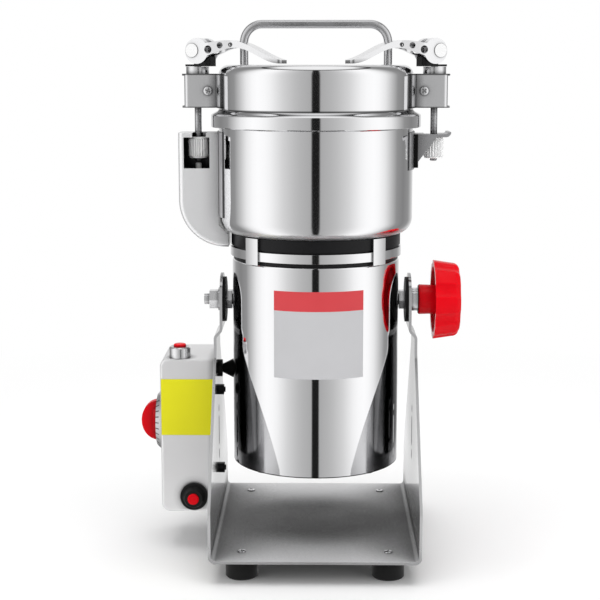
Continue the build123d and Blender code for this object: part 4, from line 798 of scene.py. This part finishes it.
# %% Turn the lid
LID_WALL = 1.2 * MM
SHOULDER_R = 7.5 * MM
BREAK = 0.3 * MM
POLE = 1e-5
skirt_z, top_z = lid_low.z, lid_high.z
skirt_top = skirt_z + 8.2 * MM
swell_top = skirt_z + 12.4 * MM
shoulder_at = (bowl_r - SHOULDER_R, top_z - SHOULDER_R)


def swell(inset, steps=14):
    """The S between the skirt and the side, from below to above, the inner one a little lower."""
    made = []
    for i in range(steps + 1):
        t = i / steps
        r = bowl_r + (skirt_r - bowl_r) * (1 + math.cos(math.pi * t)) / 2 - inset
        made.append((r, skirt_top + (swell_top - skirt_top) * t - inset * 0.5))
    return made


lid_profile = [(POLE, top_z)]
lid_profile += bend(shoulder_at, SHOULDER_R, 90, 0, 12)
lid_profile += swell(0.0)[::-1]
lid_profile += [(skirt_r, skirt_z + BREAK), (skirt_r - BREAK, skirt_z)]
lid_profile += [(skirt_r - LID_WALL + BREAK, skirt_z), (skirt_r - LID_WALL, skirt_z + BREAK)]
lid_profile += swell(LID_WALL)
lid_profile += bend(shoulder_at, SHOULDER_R - LID_WALL, 0, 90, 10)
lid_profile += [(POLE, top_z - LID_WALL)]
lid = stand_in(turned("lid_turned", lid_profile, closed=False), "lid_shell")
print("lid faces", len(lid.data.polygons))

# %% [markdown]
# The motor can is a plain tube with a rounded upper edge and a lip that turns inward. It is turned again
# for the same reason as the bowl: its tall mirror would show every facet of a coarser mesh.

# %% Turn the motor can
CAN_WALL = 1.2 * MM
CAN_EDGE = 2.0 * MM
LIP = 14.0 * MM
lip_r = can_r - LIP
bottom, top = can_low.z, can_high.z
can_profile = [(can_r - BREAK, bottom), (can_r, bottom + BREAK)]
can_profile += bend((can_r - CAN_EDGE, top - CAN_EDGE), CAN_EDGE, 0, 90, 8)
can_profile += [(lip_r, top), (lip_r, top - CAN_WALL), (can_r - CAN_EDGE, top - CAN_WALL)]
can_profile += [(can_r - CAN_WALL, top - CAN_EDGE), (can_r - CAN_WALL, bottom)]
can = stand_in(turned("can_turned", can_profile), "motor_can")
print("can faces", len(can.data.polygons))

# %% [markdown]
# The bail is one round bar with two bends. A disc is extruded up, spun round each bend and drawn straight
# between them, the way a bar is bent over a former. A curve with a round bevel would give the same bar, but
# then its ends would have to be closed by hand.

# %% Bend the bail
BEND_R = 13.0 * MM
BEND_STEPS = 14
bail_low, bail_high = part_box("lid_handle")
bar_r = (bail_high.y - bail_low.y) / 2
left_x = bail_low.x + bar_r
right_x = bail_high.x - bar_r
bend_z = bail_high.z - bar_r - BEND_R
bpy.ops.object.select_all(action="DESELECT")
bpy.ops.mesh.primitive_circle_add(
    vertices=40, radius=bar_r, fill_type="NGON", location=(left_x, 0, bail_low.z))
bail = bpy.context.object
bail.name = "bail_bent"
edit(bail, "SELECT")


def draw_out(x, z):
    """Extrude the end ring of the bar by a straight length."""
    bpy.ops.mesh.extrude_region_move(TRANSFORM_OT_translate={"value": (x, 0, z)})


def bend_round(x):
    """Spin the end ring a quarter turn about an axis through the bend's centre."""
    bpy.ops.mesh.spin(
        steps=BEND_STEPS, angle=math.radians(-90), center=(x, 0, bend_z), axis=(0, 1, 0))


draw_out(0, bend_z - bail_low.z)
bend_round(left_x + BEND_R)
draw_out(right_x - left_x - 2 * BEND_R, 0)
bend_round(right_x - BEND_R)
draw_out(0, bail_low.z - bend_z)
bpy.ops.mesh.select_all(action="SELECT")
bpy.ops.mesh.normals_make_consistent(inside=False)
stand_in(settle(bail), "lid_handle")
low, high = box_of(bail)
print("bail from", [round(v / MM, 1) for v in low], "to", [round(v / MM, 1) for v in high])

# %% [markdown]
# Sheet steel never ends in a razor edge. A folded piece is copied from the CAD model, its many facets are
# joined into whole faces, and a Bevel that looks only for sharp angles eases its edges by a fraction of a
# millimetre, so that each edge catches a thin line of light. Weighted normals then keep the large faces
# flat. The CAD mesh itself is left as it is.

# %% Helpers for copying and easing
def copied(node, name):
    """Copy of a CAD node with its facets joined into whole faces."""
    pick(nodes[node])
    bpy.ops.object.duplicate()
    piece = bpy.context.object
    piece.name = name
    piece.parent = None
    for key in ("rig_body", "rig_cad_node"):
        if key in piece:
            del piece[key]
    edit(piece, "SELECT")
    bpy.ops.mesh.remove_doubles(threshold=1e-6)
    bpy.ops.mesh.dissolve_limited(angle_limit=math.radians(0.5))
    bpy.ops.object.mode_set(mode="OBJECT")
    return piece


def eased(piece, width, limit_deg=40.0, segments=2):
    """Round the sharp edges a little and keep the large faces flat."""
    round_off = piece.modifiers.new("round_off", "BEVEL")
    round_off.width = width
    round_off.segments = segments
    round_off.limit_method = "ANGLE"
    round_off.angle_limit = math.radians(limit_deg)
    round_off.use_clamp_overlap = True
    pick(piece)
    bpy.ops.object.modifier_apply(modifier=round_off.name)
    settle(piece, 50.0)
    flat = piece.modifiers.new("flat_faces", "WEIGHTED_NORMAL")
    flat.weight = 100
    flat.keep_sharp = True
    bpy.ops.object.modifier_apply(modifier=flat.name)
    return piece


print("easing ready")

# %% [markdown]
# The housing is pressed with a wide soft edge along its curve, so that edge is picked out by its place and
# rounded first, with many steps.

# %% Round the housing
CURVE_R = 34.0 * MM
PRESS_R = 3.6 * MM
NEAR = 0.05 * MM
housing_low, housing_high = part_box("interlock_housing")
housing = copied("interlock_housing", "housing_pressed")
edit(housing)
bpy.ops.mesh.select_mode(type="EDGE")
bpy.ops.object.mode_set(mode="OBJECT")
verts = [v.co for v in housing.data.vertices]


def on_curve(point):
    """True on the outer curve of the J, from the top down and round to the foot."""
    across = point.x - housing_low.x - CURVE_R
    up = point.z - housing_low.z - CURVE_R
    if across < 0 and up < 0:
        return abs(math.hypot(across, up) - CURVE_R) < 4 * NEAR
    return abs(point.x - housing_low.x) < NEAR or abs(point.z - housing_low.z) < NEAR


for line in housing.data.edges:
    a, b = (verts[i] for i in line.vertices)
    level = abs(a.y - b.y) < 1e-6 and abs(abs(a.y) - housing_high.y) < NEAR
    line.select = level and on_curve(a) and on_curve(b)
bpy.ops.object.mode_set(mode="EDIT")
bpy.ops.mesh.bevel(offset=PRESS_R, segments=6, affect="EDGES", clamp_overlap=True)
bpy.ops.object.mode_set(mode="OBJECT")
stand_in(eased(housing, 0.35 * MM, 50.0), "interlock_housing")
print("housing faces", len(housing.data.polygons))

# %% [markdown]
# The other folded and cast pieces are eased the same way. The table gives the width for each in
# millimetres: least on the thin sheet of the neck ring, most on the thick saddles.

# %% Ease the folded and cast pieces
for node, width in (
    ("base_frame", 0.35), ("switch_box", 0.3), ("clamp_blocks", 0.7), ("catch_bracket", 0.45),
    ("lid_brackets", 0.5), ("wall_strips", 0.3), ("neck_ring", 0.25), ("left_lever", 0.6),
    ("right_lever", 0.6), ("left_saddle", 0.8), ("right_saddle", 0.8),
):
    piece = stand_in(eased(copied(node, node + "_eased"), width * MM), node)
    print(node, "faces", len(piece.data.polygons))

# %% [markdown]
# The hand knob is moulded with draft, so that it leaves its mould, and its outer end is a little smaller
# than its open rim. Its lobes come with the CAD piece, so only the points of the outer end are picked and
# drawn in, and the edges are then eased with more steps than those of sheet.

# %% Draft and ease the hand knob
DRAFT = 0.93
OUTER_END = 7.0 * MM
knob_low, knob_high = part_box("lock_knob")
knob = copied("lock_knob", "lock_knob_eased")
edit(knob)
bpy.ops.mesh.select_mode(type="VERT")
bpy.ops.object.mode_set(mode="OBJECT")
for v in knob.data.vertices:
    v.select = v.co.x > knob_high.x - OUTER_END
print("drafted points", sum(v.select for v in knob.data.vertices), "of", len(knob.data.vertices))
bpy.ops.object.mode_set(mode="EDIT")
bpy.ops.transform.resize(value=(1, DRAFT, DRAFT), center_override=(knob_low + knob_high) / 2)
bpy.ops.object.mode_set(mode="OBJECT")
stand_in(eased(knob, 1.1 * MM, 28.0, 4), "lock_knob")
print("lock_knob faces", len(knob.data.polygons))

# %% [markdown]
# The nuts under the catches are knurled. Their band is turned with two sides to a tooth, and every second
# line of points is drawn in a little, which leaves the teeth that fingers hold. A bump would look the same
# from afar, but not along the outline.

# %% Knurl the thumb nuts
TEETH = 22
GROOVE = 0.91
BORE_R = 2.6 * MM
BAND_IN = 1.6 * MM


def thumb_nut(node):
    """Turn a nut and draw every second line of its band in."""
    low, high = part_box(node)
    x, y = (low.x + high.x) / 2, (low.y + high.y) / 2
    r = (high.x - low.x) / 2
    neck, lip = low.z + BAND_IN, high.z - BAND_IN
    collar, end = r * 0.93, r * 0.86
    profile = [(BORE_R, low.z), (end, low.z), (collar, low.z + 0.5 * MM), (collar, neck - 0.3 * MM)]
    profile += [(r, neck), (r, lip), (collar, lip + 0.3 * MM), (collar, high.z - 0.5 * MM)]
    profile += [(end, high.z), (BORE_R, high.z)]
    nut = turned(node + "_knurled", profile, x, y, 2 * TEETH)
    edit(nut)
    bpy.ops.mesh.select_mode(type="VERT")
    bpy.ops.object.mode_set(mode="OBJECT")
    for v in nut.data.vertices:
        turn = math.atan2(v.co.y - y, v.co.x - x) * TEETH / math.pi
        v.select = round(turn) % 2 == 1 and math.hypot(v.co.x - x, v.co.y - y) > r * 0.97
    bpy.ops.object.mode_set(mode="EDIT")
    bpy.ops.transform.resize(value=(GROOVE, GROOVE, 1), center_override=(x, y, neck))
    settle(nut, 20.0)
    return stand_in(nut, node, zinc)


for node in ("left_thumb_nut", "right_thumb_nut"):
    print(node, "faces", len(thumb_nut(node).data.polygons))

# %% [markdown]
# The screws get round heads with a crossed slot. Each kind is made once, standing at the origin, and a
# Boolean cuts two thin blades out of its head. That leaves true edges for the light, which a dark cross
# painted on the head would not.

# %% Make the two crossed screws
FOOT_HEAD = 1.3 * MM
BLOCK_HEAD = 1.6 * MM
SHANK_R = 1.5 * MM
SLOT_LONG, SLOT_WIDE, SLOT_DEEP = 1.15, 0.26, 1.1


def remove(piece):
    """Delete a piece."""
    pick(piece)
    bpy.ops.object.delete()


def crossed_screw(name, head_r, head_h, shank_l):
    """Round head on the level of the origin, its shank below."""
    profile = [(POLE, -shank_l), (SHANK_R, -shank_l), (SHANK_R, 0.0), (head_r - 0.15 * MM, 0.0)]
    profile += [(head_r, head_h * 0.15), (head_r * 0.98, head_h * 0.42), (head_r * 0.88, head_h * 0.72)]
    profile += [(head_r * 0.66, head_h * 0.93), (head_r * 0.3, head_h), (POLE, head_h)]
    screw = turned(name, profile, 0.0, 0.0, 32, closed=False)
    for turn_deg in (0, 90):
        bpy.ops.mesh.primitive_cube_add(
            size=1, location=(0, 0, head_h), rotation=(0, 0, math.radians(turn_deg)))
        blade = bpy.context.object
        blade.scale = (head_r * SLOT_LONG, head_r * SLOT_WIDE, head_h * SLOT_DEEP)
        bpy.ops.object.transform_apply(scale=True, rotation=True)
        pick(screw)
        slot = screw.modifiers.new("slot", "BOOLEAN")
        slot.object = blade
        slot.operation = "DIFFERENCE"
        slot.solver = "EXACT"
        bpy.ops.object.modifier_apply(modifier=slot.name)
        remove(blade)
    return settle(screw, 30.0)


foot_screw = crossed_screw("foot_screw", 2.9 * MM, FOOT_HEAD, 3.0 * MM)
block_screw = crossed_screw("block_screw", 3.2 * MM, BLOCK_HEAD, 2.0 * MM)
print("screw faces", len(foot_screw.data.polygons), len(block_screw.data.polygons))

# %% [markdown]
# The places are those of the CAD screws, found from their separate shells. No two screws in a real machine
# stop at the same turn, so each cross is turned a little further than the one before.

# %% Put the screws in
PLATE_LEVEL = 30 * MM
BLOCK_SEAT = 1.7 * MM


def shells_of(node):
    """Merged copies of the separate shells of a node."""
    piece = copied(node, node + "_shell")
    edit(piece, "SELECT")
    bpy.ops.mesh.separate(type="LOOSE")
    bpy.ops.object.mode_set(mode="OBJECT")
    return sorted(bpy.context.selected_objects, key=lambda o: tuple(o.bound_box[0]))


def copy_to(piece, name, place, rotation):
    """Copy a piece with its own mesh and fix it at a place."""
    pick(piece)
    bpy.ops.object.duplicate()
    made = bpy.context.object
    made.name = name
    made.location = place
    made.rotation_euler = rotation
    bpy.ops.object.transform_apply(location=True, rotation=True, scale=True)
    return made


for number, shell in enumerate(shells_of("stand_screws")):
    low, high = box_of(shell)
    centre = (low + high) / 2
    if high.z < PLATE_LEVEL:
        made = copy_to(foot_screw, "foot_screw_" + str(number), (centre.x, centre.y, high.z - FOOT_HEAD),
                       (0, 0, math.radians(20 + 35 * number)))
        remove(shell)
        stand_in(made, "stand_screws", bright)
    else:
        shell.name = "box_nut_" + str(number)
        stand_in(shell, "stand_screws")
for number, shell in enumerate(shells_of("block_screws")):
    low, high = box_of(shell)
    centre = (low + high) / 2
    made = copy_to(block_screw, "block_screw_" + str(number), (centre.x, low.y + BLOCK_SEAT, centre.z),
                   (math.radians(90), math.radians(25 + 20 * number), 0))
    remove(shell)
    stand_in(made, "block_screws", bright)
remove(foot_screw)
remove(block_screw)
print("screws in place")

# %% [markdown]
# The two stickers are left blank. The one on the can is a strip bent round it, with a red band over a
# silver field. An upright sliver is spun about the spindle, so the strip keeps one thickness of a tenth of
# a millimetre all along, which a Shrinkwrap would not promise.

# %% Stick the label on the can
FILM = 0.12 * MM
LABEL_DEG = (-28.5, 33.5)
FIELD_FROM, FIELD_TO, BAND_TOP = 139 * MM, 187 * MM, 201 * MM


def bent_label(name, low_z, high_z, coat):
    """Strip round the can, spun from an upright edge. Degrees run from the front to the right."""
    turn = math.radians(LABEL_DEG[0] - 90)
    r = can_r + FILM / 2
    bpy.ops.object.select_all(action="DESELECT")
    bpy.ops.mesh.primitive_plane_add(
        size=1, location=(spindle_x + r * math.cos(turn), r * math.sin(turn), (low_z + high_z) / 2),
        rotation=(math.radians(90), 0, turn))
    strip = bpy.context.object
    strip.name = name
    strip.scale = (FILM, high_z - low_z, 1)
    bpy.ops.object.transform_apply(location=True, rotation=True, scale=True)
    edit(strip, "SELECT")
    bpy.ops.mesh.spin(
        steps=36, angle=-math.radians(LABEL_DEG[1] - LABEL_DEG[0]), center=(spindle_x, 0, low_z),
        axis=(0, 0, 1))
    bpy.ops.mesh.select_all(action="SELECT")
    bpy.ops.mesh.normals_make_consistent(inside=False)
    settle(strip)
    strip.data.materials.append(coat)
    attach(strip, nodes["motor_can"]["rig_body"])


bent_label("can_label_field", FIELD_FROM, FIELD_TO, grey_film)
bent_label("can_label_band", FIELD_TO, BAND_TOP, red_film)

# %% [markdown]
# The yellow label is almost as wide as the switch box and lies on its front face. It is flat, so a thin
# block is all it needs.

# %% Stick the label on the box
SIDE_GAP = 0.6 * MM
SHEET_FROM, SHEET_TO = 87.5 * MM, 129.5 * MM
box_low, box_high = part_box("switch_box")
label_low = Vector((box_low.x + SIDE_GAP, box_low.y - FILM, SHEET_FROM))
label_high = Vector((box_high.x - SIDE_GAP, box_low.y, SHEET_TO))
bpy.ops.mesh.primitive_cube_add(size=1, location=(label_low + label_high) / 2)
sheet = bpy.context.object
sheet.name = "box_label"
sheet.scale = label_high - label_low
settle(sheet, 30.0)
sheet.data.materials.append(yellow_film)
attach(sheet, nodes["switch_box"]["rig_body"])
